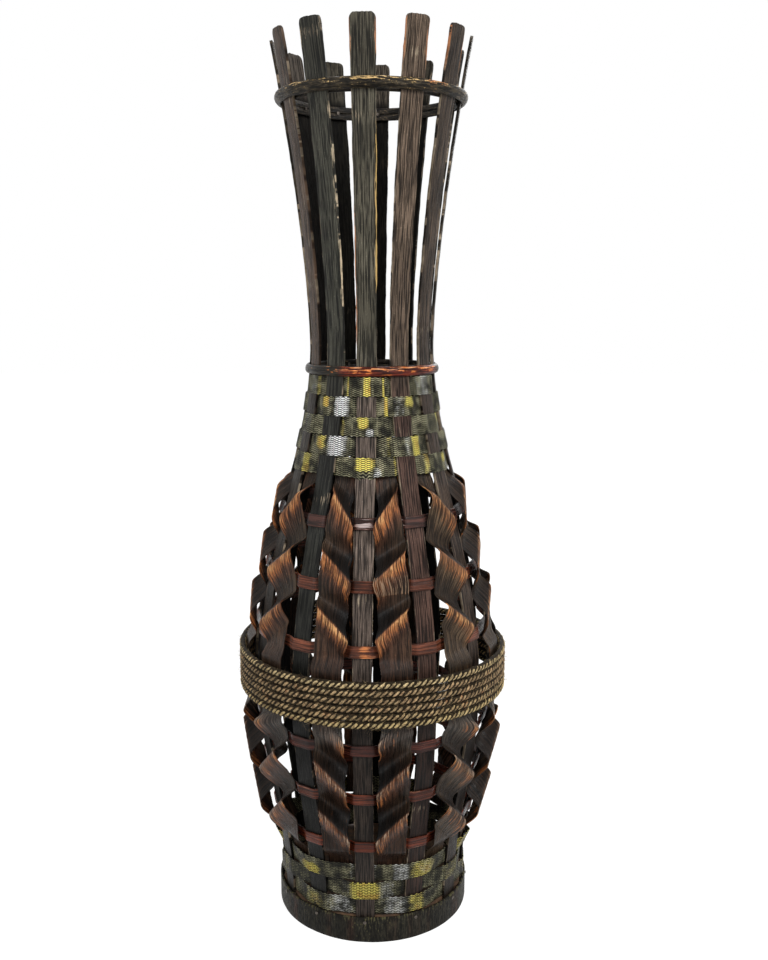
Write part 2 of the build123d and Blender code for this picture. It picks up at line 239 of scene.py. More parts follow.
class Workbench:
    """Modelling steps that all pieces share, done with operators."""

    SEAM_GAP = 1e-6
    EDGE_ANGLE = 60

    @staticmethod
    def take(piece: bpy.types.Object) -> None:
        """Make one piece the only selected one."""
        bpy.ops.object.select_all(action="DESELECT")
        piece.select_set(True)
        bpy.context.view_layer.objects.active = piece

    @staticmethod
    def lay(name: str, skin: Skin) -> bpy.types.Object:
        """Add a grid and bend it into a skin.

        Args:
            name: Name of the new piece.
            skin: The surface.

        Returns:
            The new piece, in place, with its UV map and attributes.
        """
        rows, places = skin.shape()
        bpy.ops.object.select_all(action="DESELECT")
        bpy.ops.mesh.primitive_grid_add(x_subdivisions=places - 1, y_subdivisions=rows - 1, size=1)
        piece = bpy.context.object
        piece.name = name
        mesh = piece.data
        mesh.name = name
        flat = np.empty(len(mesh.vertices) * 3, np.float32)
        mesh.vertices.foreach_get("co", flat)
        spots = flat.reshape(-1, 3) + 0.5
        place = np.rint(spots[:, 0] * (places - 1)).astype(int)
        row = np.rint(spots[:, 1] * (rows - 1)).astype(int)
        mesh.vertices.foreach_set("co", skin.points[row, place].astype(np.float32).ravel())
        corners = np.empty(len(mesh.loops), np.int32)
        mesh.loops.foreach_get("vertex_index", corners)
        uv = skin.uv[row, place][corners].astype(np.float32)
        mesh.uv_layers[0].data.foreach_set("uv", uv.ravel())
        for key, values in skin.marks.items():
            whole = (rows, places) if values.ndim == 2 else (rows, places, 3)
            chosen = np.broadcast_to(values, whole)[row, place].astype(np.float32)
            if chosen.ndim == 1:
                mesh.attributes.new(key, "FLOAT", "POINT").data.foreach_set("value", chosen)
            else:
                filled = np.concatenate([chosen, np.ones((len(chosen), 1), np.float32)], axis=1)
                mesh.attributes.new(key, "FLOAT_COLOR", "POINT").data.foreach_set("color", filled.ravel())
        mesh.update()
        return piece

    @classmethod
    def close(cls, piece: bpy.types.Object, capped: bool) -> None:
        """Merge the points that meet where a skin closes on itself.

        Args:
            piece: The skin.
            capped: Whether its open ends are filled too.
        """
        cls.take(piece)
        bpy.ops.object.mode_set(mode="EDIT")
        bpy.ops.mesh.select_all(action="SELECT")
        bpy.ops.mesh.remove_doubles(threshold=cls.SEAM_GAP)
        if capped:
            bpy.ops.mesh.select_all(action="SELECT")
            bpy.ops.mesh.fill_holes(sides=0)
        bpy.ops.object.mode_set(mode="OBJECT")

    @classmethod
    def thicken(cls, piece: bpy.types.Object, depth: float, round_off: float, segments: int) -> None:
        """Give a skin its thickness, inwards, and round its edges.

        Args:
            piece: The skin.
            depth: Its thickness.
            round_off: Width of the rounding, or 0 for none.
            segments: Faces across the rounding.
        """
        cls.take(piece)
        wall = piece.modifiers.new("thickness", "SOLIDIFY")
        wall.thickness = depth
        wall.offset = -1
        wall.material_offset = 1
        bpy.ops.object.modifier_apply(modifier=wall.name)
        if round_off:
            edge = piece.modifiers.new("edges", "BEVEL")
            edge.width = round_off
            edge.segments = segments
            edge.limit_method = "ANGLE"
            edge.angle_limit = math.radians(cls.EDGE_ANGLE)
            bpy.ops.object.modifier_apply(modifier=edge.name)

    @classmethod
    def make(
        cls, name: str, skin: Skin, materials: tuple[bpy.types.Material, ...], closed: bool = True,
        capped: bool = False, depth: float = 0.0, round_off: float = 0.0, segments: int = 2,
        angle: float = 50,
    ) -> bpy.types.Object:
        """Lay a skin and finish it as a piece.

        Args:
            name: Name of the new piece.
            skin: Its surface.
            materials: The material of its face, and of its inner side where that has its own.
            closed: Whether the skin closes on itself.
            capped: Whether the ends of a tube are filled.
            depth: Its thickness, or 0 where the skin is closed all round.
            round_off: Width of the rounding of its edges, or 0 for none.
            segments: Faces across the rounding.
            angle: Edges sharper than this, in degrees, stay sharp.

        Returns:
            The piece.
        """
        piece = cls.lay(name, skin)
        if closed:
            cls.close(piece, capped)
        for material in materials:
            piece.data.materials.append(material)
        if depth:
            cls.thicken(piece, depth, round_off, segments)
        cls.take(piece)
        bpy.ops.object.shade_smooth_by_angle(angle=math.radians(angle))
        return piece

    @staticmethod
    def hand_over(piece: bpy.types.Object, slot: str, *nodes: str) -> None:
        """Let a piece stand for its nodes and ride on the vase."""
        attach(piece, "root")
        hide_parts(*nodes)


class Nodes:
    """Short ways to fill one node tree."""

    def __init__(self, tree: bpy.types.NodeTree) -> None:
        """Keep the tree that is filled."""
        self.tree = tree

    def add(self, kind: str, inputs: dict | None = None, **settings: object) -> bpy.types.Node:
        """Add a node.

        Args:
            kind: Its type.
            inputs: Values or sockets for its inputs, by name or number.
            settings: Its properties.

        Returns:
            The node.
        """
        node = self.tree.nodes.new(kind)
        for name, value in settings.items():
            setattr(node, name, value)
        for key, value in (inputs or {}).items():
            if isinstance(value, Socket):
                self.tree.links.new(value, node.inputs[key])
            elif isinstance(value, tuple) and node.inputs[key].type == "RGBA":
                node.inputs[key].default_value = (*value, 1)
            else:
                node.inputs[key].default_value = value
        return node

    def sum_of(self, operation: str, first: object, second: object = 0.0, third: object = 0.0) -> Socket:
        """One step of arithmetic."""
        return self.add("ShaderNodeMath", {0: first, 1: second, 2: third}, operation=operation).outputs[0]

    def mix(self, share: object, low: object, high: object, blend: str = "MIX") -> Socket:
        """A colour between two, or one laid over the other."""
        kind = {"data_type": "RGBA", "blend_type": blend}
        return self.add("ShaderNodeMix", {0: share, 6: low, 7: high}, **kind).outputs[2]

    def between(self, value: object, low: float, high: float, start: float = 0, end: float = 1) -> Socket:
        """A smooth step from start to end while a value runs from low to high."""
        ends = {0: value, 1: low, 2: high, 3: start, 4: end}
        return self.add("ShaderNodeMapRange", ends, interpolation_type="SMOOTHSTEP").outputs[0]

    def noise(self, vector: object, scale: object, detail: float = 3, rough: float = 0.55) -> Socket:
        """A noise pattern from 0 to 1."""
        inputs = {"Vector": vector, "Scale": scale, "Detail": detail, "Roughness": rough}
        return self.add("ShaderNodeTexNoise", inputs).outputs[0]

    def parts(self, vector: object) -> bpy.types.NodeOutputs:
        """The three numbers of a vector."""
        return self.add("ShaderNodeSeparateXYZ", {0: vector}).outputs

    def whole(self, x: object, y: object, z: object = 0.0) -> Socket:
        """A vector from its numbers."""
        return self.add("ShaderNodeCombineXYZ", {0: x, 1: y, 2: z}).outputs[0]

    def grey(self, value: Socket) -> Socket:
        """A value as a grey colour."""
        return self.whole(value, value, value)

    def dimmed(self, colour: object, value: Socket) -> Socket:
        """A colour times a value."""
        return self.mix(1.0, colour, self.grey(value), "MULTIPLY")

    def stretched(self, vector: object, sizes: tuple[float, float, float]) -> Socket:
        """A place times a number along each axis."""
        return self.add("ShaderNodeVectorMath", {0: vector, 1: sizes}, operation="MULTIPLY").outputs[0]

    def mark(self, name: str, output: str = "Fac") -> Socket:
        """What a piece's points carry under a name."""
        return self.add("ShaderNodeAttribute", attribute_name=name).outputs[output]

    def uv(self) -> Socket:
        """The piece's own UV map."""
        return self.add("ShaderNodeUVMap").outputs[0]

    def here(self) -> Socket:
        """Object coordinates."""
        return self.add("ShaderNodeTexCoord").outputs["Object"]

    def place(self, name: str, inputs: dict) -> bpy.types.Node:
        """Place a shared group."""
        return self.add("ShaderNodeGroup", inputs, node_tree=Groups.named(name))


class Groups:
    """Effects that more than one finish uses, each built once."""

    @classmethod
    def named(cls, name: str) -> bpy.types.NodeTree:
        """The group of that name, built at its first use."""
        found = bpy.data.node_groups.get(name)
        if found is None:
            found = getattr(cls, name)(name)
        return found

    @staticmethod
    def _start(name: str, inputs: dict[str, str], outputs: tuple[str, ...]) -> tuple:
        """Begin a group.

        Args:
            name: Its name.
            inputs: Socket type of each input.
            outputs: Names of its outputs, all plain values.

        Returns:
            The node tree, its filler, its input node and its output node.
        """
        tree = bpy.data.node_groups.new(name, "ShaderNodeTree")
        for key, kind in inputs.items():
            tree.interface.new_socket(key, in_out="INPUT", socket_type=kind)
        for key in outputs:
            tree.interface.new_socket(key, in_out="OUTPUT", socket_type="NodeSocketFloat")
        nodes = Nodes(tree)
        return tree, nodes, nodes.add("NodeGroupInput"), nodes.add("NodeGroupOutput")

    @classmethod
    def grain(cls, name: str) -> bpy.types.NodeTree:
        """Bamboo grain along one direction: broad streaks, crisp lines, fine fibres and dark pores."""
        kinds = {"Vector": "NodeSocketVector", "Lines": "NodeSocketFloat", "Stretch": "NodeSocketFloat"}
        tree, nodes, start, end = cls._start(name, kinds, ("Streak", "Line", "Fibre", "Pore"))
        parts = nodes.parts(start.outputs["Vector"])
        along = nodes.sum_of("DIVIDE", parts[1], start.outputs["Stretch"])
        scaled = nodes.add(
            "ShaderNodeVectorMath", {0: nodes.whole(parts[0], along, parts[2]), 3: start.outputs["Lines"]},
            operation="SCALE",
        )
        # Scale, detail and roughness of each pattern, and the ends of its step
        patterns = {
            "Streak": (0.24, 2, 0.6, 0.32, 0.68), "Line": (0.85, 2, 0.6, 0.42, 0.58),
            "Fibre": (2.1, 2, 0.6, 0.3, 0.7), "Pore": (1.2, 4, 0.7, 0.42, 0.35),
        }
        for key, (scale, detail, rough, low, high) in patterns.items():
            pattern = nodes.noise(scaled.outputs[0], scale, detail, rough)
            tree.links.new(nodes.between(pattern, low, high), end.inputs[key])
        return tree

    @classmethod
    def scuff(cls, name: str) -> bpy.types.NodeTree:
        """Wear that grows from nothing to a broken and then a whole patch with its amount."""
        kinds = {
            "Vector": "NodeSocketVector", "Amount": "NodeSocketFloat", "Grain": "NodeSocketFloat",
            "Size": "NodeSocketFloat", "Stretch": "NodeSocketFloat",
        }
        tree, nodes, start, end = cls._start(name, kinds, ("Mask",))
        parts = nodes.parts(start.outputs["Vector"])
        across = nodes.sum_of("DIVIDE", parts[0], start.outputs["Size"])
        along = nodes.sum_of("DIVIDE", parts[1], start.outputs["Size"])
        along = nodes.sum_of("DIVIDE", along, start.outputs["Stretch"])
        pattern = nodes.noise(nodes.whole(across, along, parts[2]), 1.0, 4, 0.65)
        patch = nodes.between(pattern, 0.3, 0.7)
        broken = nodes.mix(0.5, nodes.grey(patch), nodes.grey(start.outputs["Grain"]))
        need = nodes.sum_of("SUBTRACT", 1.0, start.outputs["Amount"])
        over = nodes.sum_of("SUBTRACT", broken, need)
        tree.links.new(nodes.between(over, -0.05, 0.09), end.inputs["Mask"])
        return tree

    @classmethod
    def grime(cls, name: str) -> bpy.types.NodeTree:
        """Uneven stain and settled dust, as one slow pattern."""
        kinds = {"Vector": "NodeSocketVector", "Size": "NodeSocketFloat"}
        tree, nodes, start, end = cls._start(name, kinds, ("Tone",))
        scale = nodes.sum_of("DIVIDE", 1.0, start.outputs["Size"])
        slow = nodes.noise(start.outputs["Vector"], scale, 3, 0.5)
        tree.links.new(nodes.between(slow, 0.3, 0.7), end.inputs["Tone"])
        return tree


@dataclass(frozen=True)
class Finish:
    """The name of a material, and the steps that all finishes share."""

    name: str

    def _start(self) -> tuple[bpy.types.Material, Nodes]:
        """Begin a material that has one Principled surface."""
        made = bpy.data.materials.new(self.name)
        made.use_nodes = True
        return made, Nodes(made.node_tree)

    @staticmethod
    def _surface(made: bpy.types.Material) -> bpy.types.Node:
        """The Principled surface of a material."""
        return made.node_tree.nodes["Principled BSDF"]

    def _end(
        self, made: bpy.types.Material, colour: Socket, rough: Socket,
        relief: tuple[Socket, float, float], specular: float = 0.5,
    ) -> bpy.types.Material:
        """Join what a finish has worked out to the surface.

        Args:
            made: The material.
            colour: Its colour.
            rough: Its roughness.
            relief: Height of the relief, how strong it is, and how deep.
            specular: How much it shines.

        Returns:
            The material.
        """
        height, strength, depth = relief
        inputs = {"Height": height, "Strength": strength, "Distance": depth}
        bump = Nodes(made.node_tree).add("ShaderNodeBump", inputs)
        surface = self._surface(made)
        for key, socket in (("Base Color", colour), ("Roughness", rough), ("Normal", bump.outputs[0])):
            made.node_tree.links.new(socket, surface.inputs[key])
        surface.inputs["Specular IOR Level"].default_value = specular
        return made


@dataclass(frozen=True)
class BambooFinish(Finish):
    """Stained bamboo, laid over with the colour of worn wood and of painted sheen that its points carry,
    where they carry wear and sheen.
    """

    lines: float = 950.0
    stretch: float = 14.0
    along_u: bool = False
    streaks: float = 0.3
    contrast: float = 0.55
    worn_size: float = 5.0 * MM
    worn_stretch: float = 4.0
    depth: float = 0.25 * MM
    roughness: float = 0.42
    specular: float = 0.14
    coat: float = 0.0
    painted_shade_mark: str = ""
    stain_size: float = 30.0 * MM
    coat_roughness: float = 0.2
    pore: Colour = (0.003, 0.0025, 0.002)

    def material(self) -> bpy.types.Material:
        """Build the material.

        Returns:
            A material that reads the stain of the points, with the painted light and shade worked into it,
            and the colour and amount of their wear and painted sheen.
        """
        made, nodes = self._start()
        vector = nodes.uv()
        if self.along_u:
            parts = nodes.parts(vector)
            vector = nodes.whole(parts[1], parts[0])
        grain = nodes.place("grain", {"Vector": vector, "Lines": self.lines, "Stretch": self.stretch})
        grime = nodes.place("grime", {"Vector": nodes.here(), "Size": self.stain_size})
        streak = nodes.between(grain.outputs["Streak"], 0, 1, 1 - self.streaks, 1 + self.streaks)
        line = nodes.between(grain.outputs["Line"], 0, 1, 1 - self.contrast, 1 + self.contrast * 1.35)
        # The dye mark is the stain, with painted shade worked into it on the slats and painted light and
        # shade on the splints
        colour = nodes.dimmed(nodes.dimmed(nodes.mark("dye", "Color"), streak), line)
        pores = nodes.sum_of("MULTIPLY", grain.outputs["Pore"], 0.6)
        colour = nodes.mix(pores, colour, self.pore)
        short = nodes.stretched(vector, (1.0, 0.3, 1.0))
        specks = nodes.between(nodes.noise(short, 1500, 2, 0.6), 0.6, 0.72)
        colour = nodes.dimmed(colour, nodes.between(specks, 0, 1, 0.94, 1.9))
        colour = nodes.dimmed(colour, nodes.between(grime.outputs["Tone"], 0, 1, 0.75, 1.2))
        wear = {
            "Vector": vector, "Amount": nodes.mark("wear_and_sheen"), "Grain": grain.outputs["Line"],
            "Size": self.worn_size, "Stretch": self.worn_stretch,
        }
        worn = nodes.place("scuff", wear)
        shade = nodes.between(grain.outputs["Fibre"], 0.1, 0.9, 0.62, 1.3)
        # Worn wood, and on the splints, weavers and neck hoop painted sheen and highlights too, laid over
        # the stain
        colour = nodes.mix(worn.outputs["Mask"], colour, nodes.dimmed(nodes.mark("wood_and_sheen", "Color"), shade))
        # Painted shade: the colour dimmed by a mark, on the inner faces of the slats
        if self.painted_shade_mark:
            colour = nodes.dimmed(colour, nodes.mark(self.painted_shade_mark))
        rough = nodes.between(grain.outputs["Fibre"], 0, 1, self.roughness - 0.1, self.roughness + 0.14)
        relief = nodes.sum_of("ADD", grain.outputs["Fibre"], grain.outputs["Line"])
        height = nodes.sum_of("SUBTRACT", relief, grain.outputs["Pore"])
        if self.coat:
            self._surface(made).inputs["Coat Weight"].default_value = self.coat
            self._surface(made).inputs["Coat Roughness"].default_value = self.coat_roughness
        return self._end(made, colour, rough, (height, 0.5, self.depth), self.specular)


@dataclass(frozen=True)
class TapeFinish(Finish):
    """Woven tape: dark ground under rows of pale dashes that wave, tinted gold and silver in places, partly
    metallic thread and partly painted highlight and reflection, and darker low down as painted shade.
    """

    name: str = "woven_tape"
    ground: Colour = dye(10, 10, 7)
    thread: Colour = dye(160, 156, 124)
    gold: Colour = dye(255, 238, 118)
    amber: Colour = dye(216, 160, 74)
    gold_ground: Colour = dye(15, 12, 3)
    silver_and_reflection: Colour = dye(250, 252, 250)
    silver_ground: Colour = dye(11, 12, 12)
    row_pitch: float = 1.45 * MM
    wave: float = 4.4 * MM
    specular: float = 0.16

    def material(self) -> bpy.types.Material:
        """Build the material, which reads the gold and silver of the points, partly painted highlight and
        reflection.
        """
        made, nodes = self._start()
        uv = nodes.uv()
        parts = nodes.parts(uv)
        wave = nodes.sum_of("SINE", nodes.sum_of("MULTIPLY", parts[0], TURN / self.wave))
        rows = nodes.sum_of("DIVIDE", parts[1], self.row_pitch)
        waved = nodes.sum_of("MULTIPLY_ADD", wave, 0.25, rows)
        across = nodes.sum_of("MULTIPLY", nodes.sum_of("PINGPONG", waved, 0.5), 2.0)
        full = nodes.between(nodes.sum_of("ABSOLUTE", wave), 0, 0.9, 0.72, 1.0)
        lens = nodes.sum_of("MULTIPLY", across, full)
        broken = nodes.sum_of("MULTIPLY_ADD", nodes.noise(uv, 700, 2, 0.5), 0.3, lens)
        dash = nodes.between(broken, 0.64, 0.75)
        patch = nodes.sum_of("MULTIPLY", nodes.between(nodes.noise(uv, 260, 3, 0.6), 0.3, 0.7), 0.3)
        # Gold and silver, partly metallic thread and partly painted highlight and reflection
        gilt = nodes.between(nodes.sum_of("ADD", nodes.mark("gold"), patch), 0.34, 0.95)
        white = nodes.between(nodes.sum_of("ADD", nodes.mark("silver_and_reflection"), patch), 0.34, 1.0)
        shining = nodes.between(nodes.noise(uv, 90, 2), 0.5, 0.66)
        gold = nodes.mix(nodes.sum_of("MULTIPLY", shining, 0.6), self.gold, self.amber)
        cloudy = nodes.noise(nodes.stretched(uv, (1.0, 0.3, 1.0)), 170, 3)
        plain = nodes.between(cloudy, 0.36, 0.64, 0.32, 1.15)
        pale = nodes.mix(gilt, nodes.dimmed(self.thread, plain), gold)
        pale = nodes.mix(white, pale, self.silver_and_reflection)
        dark = nodes.mix(gilt, self.ground, self.gold_ground)
        dark = nodes.mix(white, dark, self.silver_ground)
        slow = nodes.between(nodes.noise(uv, 95, 3), 0.38, 0.62, 0.14, 1.15)
        bright = nodes.sum_of("MAXIMUM", slow, nodes.sum_of("MAXIMUM", gilt, white))
        colour = nodes.dimmed(nodes.mix(dash, dark, pale), bright)
        # Painted shade: darker towards the floor
        rise = nodes.parts(nodes.here())[2]
        colour = nodes.dimmed(colour, nodes.between(rise, 0.05, 0.35, 0.95, 1.35))
        rough = nodes.between(dash, 0, 1, 0.7, 0.4)
        return self._end(made, colour, rough, (dash, 0.6, 0.25 * MM), self.specular)


@dataclass(frozen=True)
class RopeFinish(Finish):
    """Twisted plant fibre, with a painted highlight on its crowns and painted shade, near black, in its
    grooves.
    """

    name: str = "rope_fibre"
    fresh: Colour = dye(255, 236, 180)
    amber: Colour = dye(206, 132, 84)
    stained: Colour = dye(70, 52, 38)
    specular: float = 0.14

    def material(self) -> bpy.types.Material:
        """Build the material, which reads the dye and crown of the points."""
        made, nodes = self._start()
        hairy = nodes.noise(nodes.stretched(nodes.uv(), (2400.0, 260.0, 1.0)), 1.0, 3, 0.65)
        fibre = nodes.between(hairy, 0.36, 0.64)
        slow = nodes.between(nodes.noise(nodes.here(), 300, 4, 0.7), 0.44, 0.6)
        dyed = nodes.mark("dye", "Color")
        colour = nodes.mix(fibre, nodes.mix(0.4, dyed, self.stained), nodes.mix(0.3, dyed, self.fresh))
        colour = nodes.mix(nodes.sum_of("MULTIPLY", slow, 0.72), colour, self.stained)
        warm = nodes.between(nodes.noise(nodes.here(), 90, 3, 0.6), 0.6, 0.72, 0.0, 0.4)
        colour = nodes.mix(warm, colour, self.amber)
        # Painted light and shade: the crown mark lights the crowns of the plies and darkens their grooves
        colour = nodes.dimmed(colour, nodes.between(nodes.mark("crown"), 0.2, 0.98, 0.07, 1.35))
        rough = nodes.between(fibre, 0, 1, 0.85, 0.6)
        return self._end(made, colour, rough, (fibre, 0.8, 0.35 * MM), self.specular)


@dataclass(frozen=True)
class PlainFinish(Finish):
    """A piece that hardly shows: even stuff with a little mottling in its colour and relief."""

    light: Colour
    dark: Colour
    scale: float
    metallic: float = 0.0
    roughness: float = 0.6

    def material(self) -> bpy.types.Material:
        """Build the material from Object coordinates."""
        made, nodes = self._start()
        mottle = nodes.noise(nodes.here(), self.scale, 5, 0.65)
        colour = nodes.mix(nodes.between(mottle, 0.3, 0.7), self.dark, self.light)
        rough = nodes.between(mottle, 0.3, 0.7, self.roughness - 0.12, self.roughness + 0.12)
        self._surface(made).inputs["Metallic"].default_value = self.metallic
        return self._end(made, colour, rough, (mottle, 0.3, 0.2 * MM))


class Front(IntEnum):
    """Slats that the front shows, by their number from the left side."""

    FAR_LEFT = 1
    LEFT = 2
    MIDDLE = 3
    RIGHT = 4
    FAR_RIGHT = 5


@dataclass
class Slats:
    """Twelve upright strips with a crowned outer face, worn edges and round top corners."""

    crown: float = 0.45 * MM
    corner: float = 4.0 * MM
    edge_wobble: float = 0.28 * MM
    end_step: float = 4.5 * MM
    edge_round: float = 0.4 * MM
    node_ridge: float = 0.09 * MM
    node_groove: float = 0.2 * MM
    end_shares: tuple[float, ...] = (0.4, 0.1, 0.0, 0.1, 0.0, 0.1, 0.3, 0.6, 0.9, 1.0, 0.9, 0.7)
    rows: int = 280
    places: int = 19
    # Stain of each slat at the neck and at the belly, from the left side round the front to the rear
    neck_stains: tuple[Colour, ...] = (
        dye(66, 58, 48), dye(80, 64, 52), dye(66, 65, 57), dye(82, 78, 67), dye(94, 80, 68),
        dye(66, 55, 46), dye(60, 54, 46), dye(60, 54, 46), dye(62, 58, 50), dye(66, 60, 52),
        dye(62, 58, 50), dye(66, 60, 54),
    )
    belly_stains: tuple[Colour, ...] = (
        dye(50, 42, 36), dye(50, 43, 36), dye(38, 38, 34), dye(96, 84, 76), dye(80, 60, 52),
        dye(68, 56, 48), dye(60, 50, 44), dye(52, 46, 40), dye(50, 46, 40), dye(54, 48, 42),
        dye(50, 46, 40), dye(54, 48, 42),
    )
    stain_change: float = 420.0 * MM
    # How light the slats are at some heights, partly their own tone and partly painted shade, darkest below
    # the rope and in the weave
    tone_heights: tuple[float, ...] = (
        0.0, 0.06, 0.15, 0.185, 0.235, 0.30, 0.36, 0.40, 0.447, 0.47, 0.55, 0.62, 0.66, 0.70,
    )
    tones_and_shade: tuple[float, ...] = (
        0.3, 0.28, 0.2, 0.22, 0.55, 0.9, 0.86, 0.8, 0.7, 0.82, 0.88, 0.8, 0.76, 0.74,
    )
    mouth_wear: float = 660.0 * MM
    # Heights of the joints of the cane in each slat
    node_heights: tuple[tuple[float, ...], ...] = (
        (0.61, 0.33), (0.52, 0.18), (0.695, 0.36), (0.637, 0.29), (0.68, 0.41, 0.12), (0.485, 0.25),
        (0.59, 0.31), (0.66, 0.38), (0.54, 0.22), (0.62, 0.34), (0.5, 0.16), (0.57, 0.28),
    )

    def _stain(self, index: int, height: np.ndarray) -> np.ndarray:
        """Stain of a slat at each height, dimmed by its tone and painted shade."""
        low, high = np.array(self.belly_stains[index]), np.array(self.neck_stains[index])
        stain_and_shade = toward(low, high, ease((height - self.stain_change) / 0.04))
        return stain_and_shade * np.interp(height, self.tone_heights, self.tones_and_shade)[..., None]

    def _wear(self, index: int, across: np.ndarray, height: np.ndarray) -> tuple[np.ndarray, np.ndarray]:
        """Wear of a slat.

        Args:
            index: Number of the slat, from 0.
            across: Places over its width, from -1 to 1.
            height: Heights.

        Returns:
            The amount of wear, and the colour of the worn wood.
        """
        edge = np.clip(np.abs(across), 0, 1) ** 26
        along = 0.5 + 0.5 * uneven(height + across * 0.03, 0.16, 40 + index)
        wear_and_sheen = edge * (0.16 + 0.28 * along)
        for node_height in self.node_heights[index]:
            wear_and_sheen = wear_and_sheen + 0.3 * hump(height, node_height - 0.004, 0.004)
        share = 0.5 + 0.5 * uneven(height + 0.05 * across, 0.09, 140 + index)
        wood_and_sheen = toward(tint(112, 98, 82), tint(172, 156, 134), share)
        gold, orange, cream = tint(216, 180, 112), tint(190, 124, 82), tint(210, 192, 162)
        right = np.clip((across - 0.72) / 0.2, 0, 1)
        left = np.clip((-across - 0.78) / 0.2, 0, 1)
        near_top = ease((height - self.mouth_wear) / 0.02)
        if index == Front.MIDDLE:
            gilt = right * span(height, 0.5, 0.615, 0.02, 0.02)
            tan = left * span(height, 0.46, 0.56, 0.02, 0.02)
            wear_and_sheen = wear_and_sheen + 0.52 * gilt + 0.46 * tan + 0.3 * near_top * (right + left)
            wood_and_sheen = wood_and_sheen + (gold - wood_and_sheen) * gilt[..., None] + (orange - wood_and_sheen) * tan[..., None]
        if index in (Front.MIDDLE, Front.RIGHT, Front.FAR_RIGHT):
            warm = near_top * (right + left)
            wear_and_sheen = wear_and_sheen + 0.24 * warm * (index != Front.MIDDLE) + 0.24 * edge
            wood_and_sheen = toward(wood_and_sheen, orange, 0.8 * np.clip(warm, 0, 1))
        if index == Front.LEFT:
            line = right * span(height, 0.48, 0.62, 0.04, 0.04)
            spots = left * near_top
            wear_and_sheen = wear_and_sheen + 0.3 * line + 0.3 * spots
            wood_and_sheen = toward(wood_and_sheen, cream, np.clip(line + spots, 0, 1))
        if index == Front.FAR_LEFT:
            wear_and_sheen = wear_and_sheen + 0.4 * hump(across, 0.45, 0.1) * span(height, 0.5, 0.66, 0.05, 0.02)
        return np.clip(wear_and_sheen, 0, 1), wood_and_sheen

    def skin(self, index: int) -> Skin:
        """Outer face of one slat.

        Args:
            index: Number of the slat, from 0.

        Returns:
            The face, before it gets its thickness.
        """
        top = WALL.top - self.end_step * self.end_shares[index]
        spread = np.linspace(-1, 1, self.places)
        across = np.sin(spread * math.pi / 2)[None, :]
        across = 0.35 * spread[None, :] + 0.65 * across
        share = np.linspace(0, 1, self.rows)[:, None]
        half_top = float(WALL.half_width(np.array(top)))
        from_side = np.abs(across) * half_top - (half_top - self.corner)
        round_off = np.clip(self.corner**2 - np.clip(from_side, 0, self.corner) ** 2, 0, None)
        drop = self.corner - np.sqrt(round_off)
        ragged = 0.25 * MM * uneven(across * 0.01, 0.006, 300 + index)
        height = share * (top - drop - ragged.max()) + share**6 * ragged
        half = WALL.half_width(height)
        side = across * half
        wobble = uneven(height + 0.002 * across, 0.07, 60 + index) - 0.6
        side = side + self.edge_wobble * across**3 * wobble
        if index == Front.FAR_LEFT:
            side = side + np.where(across < -0.5, 1.1 * MM * ease((height - 0.668) / 0.004), 0)
        dent = 0.1 * MM * (1 + uneven(height, 0.03, 80 + index))
        outward = WALL.radius(height) - self.crown * across**2 - dent
        for node_height in self.node_heights[index]:
            outward = outward + self.node_ridge * hump(height, node_height, 0.002)
            outward = outward - self.node_groove * hump(height, node_height - 0.003, 0.0015)
        points = plan(WALL.azimuth(index), outward, side, height)
        # Painted shade on the inner faces: dimmed to a seventh below the mouth, where the inside of the vase
        # is in shade, and lighter at the mouth
        inner = 0.14 + 1.1 * ease((height - self.mouth_wear) / 0.008)
        wear_and_sheen, wood_and_sheen = self._wear(index, across, height)
        marks = {"dye": self._stain(index, height), "wood_and_sheen": wood_and_sheen, "wear_and_sheen": wear_and_sheen, "inner": inner}
        return Skin(points, spread_flat(side + 0.13 * (index + 1), height), marks)

    def build(self) -> int:
        """Make and dress all slats.

        Returns:
            How many there are.
        """
        outside = BambooFinish(
            "slat_face", lines=1250, stretch=32, contrast=0.7, streaks=0.2,
            worn_size=1.4 * MM, worn_stretch=9,
        )
        # The inner faces are dimmed by the inner mark, a painted shade
        inside = BambooFinish("slat_inside", painted_shade_mark="inner", roughness=0.6, specular=0.07)
        materials = (outside.material(), inside.material())
        for index in range(WALL.slat_count):
            name = f"slat_{index + 1:02d}"
            piece = Workbench.make(
                f"{name}_strip", self.skin(index), materials, closed=False,
                depth=WALL.slat_thickness - self.crown, round_off=self.edge_round, angle=40,
            )
            Workbench.hand_over(piece, "slat", name)
        return WALL.slat_count


@dataclass(frozen=True)
class Weave:
    """Heights of the weaving, from the base band to the neck hoop."""

    ribbon_width: float = 14.5 * MM
    foot_ribbons: int = 3
    neck_ribbons: int = 5
    neck_top: float = 447.5 * MM
    row_shares: tuple[float, ...] = (0.892, 0.744, 0.590, 0.470, 0.338, 0.199, 0.059)
    rope_row: int = 3

    def pitch(self) -> float:
        """Rise from one ribbon to the next."""
        return self.ribbon_width + WALL.clearance

    def foot_top(self) -> float:
        """Upper edge of the ribbons of the foot."""
        return WALL.foot_height + WALL.clearance + self.foot_ribbons * self.pitch()

    def neck_low(self) -> float:
        """Lower edge of the ribbons of the neck."""
        return self.neck_top - self.neck_ribbons * self.pitch()

    def rows(self) -> list[float]:
        """Heights of the weavers' rows, with the rope's among them, from the top."""
        low, high = self.foot_top(), self.neck_low()
        return [low + share * (high - low) for share in self.row_shares]


WEAVE = Weave()


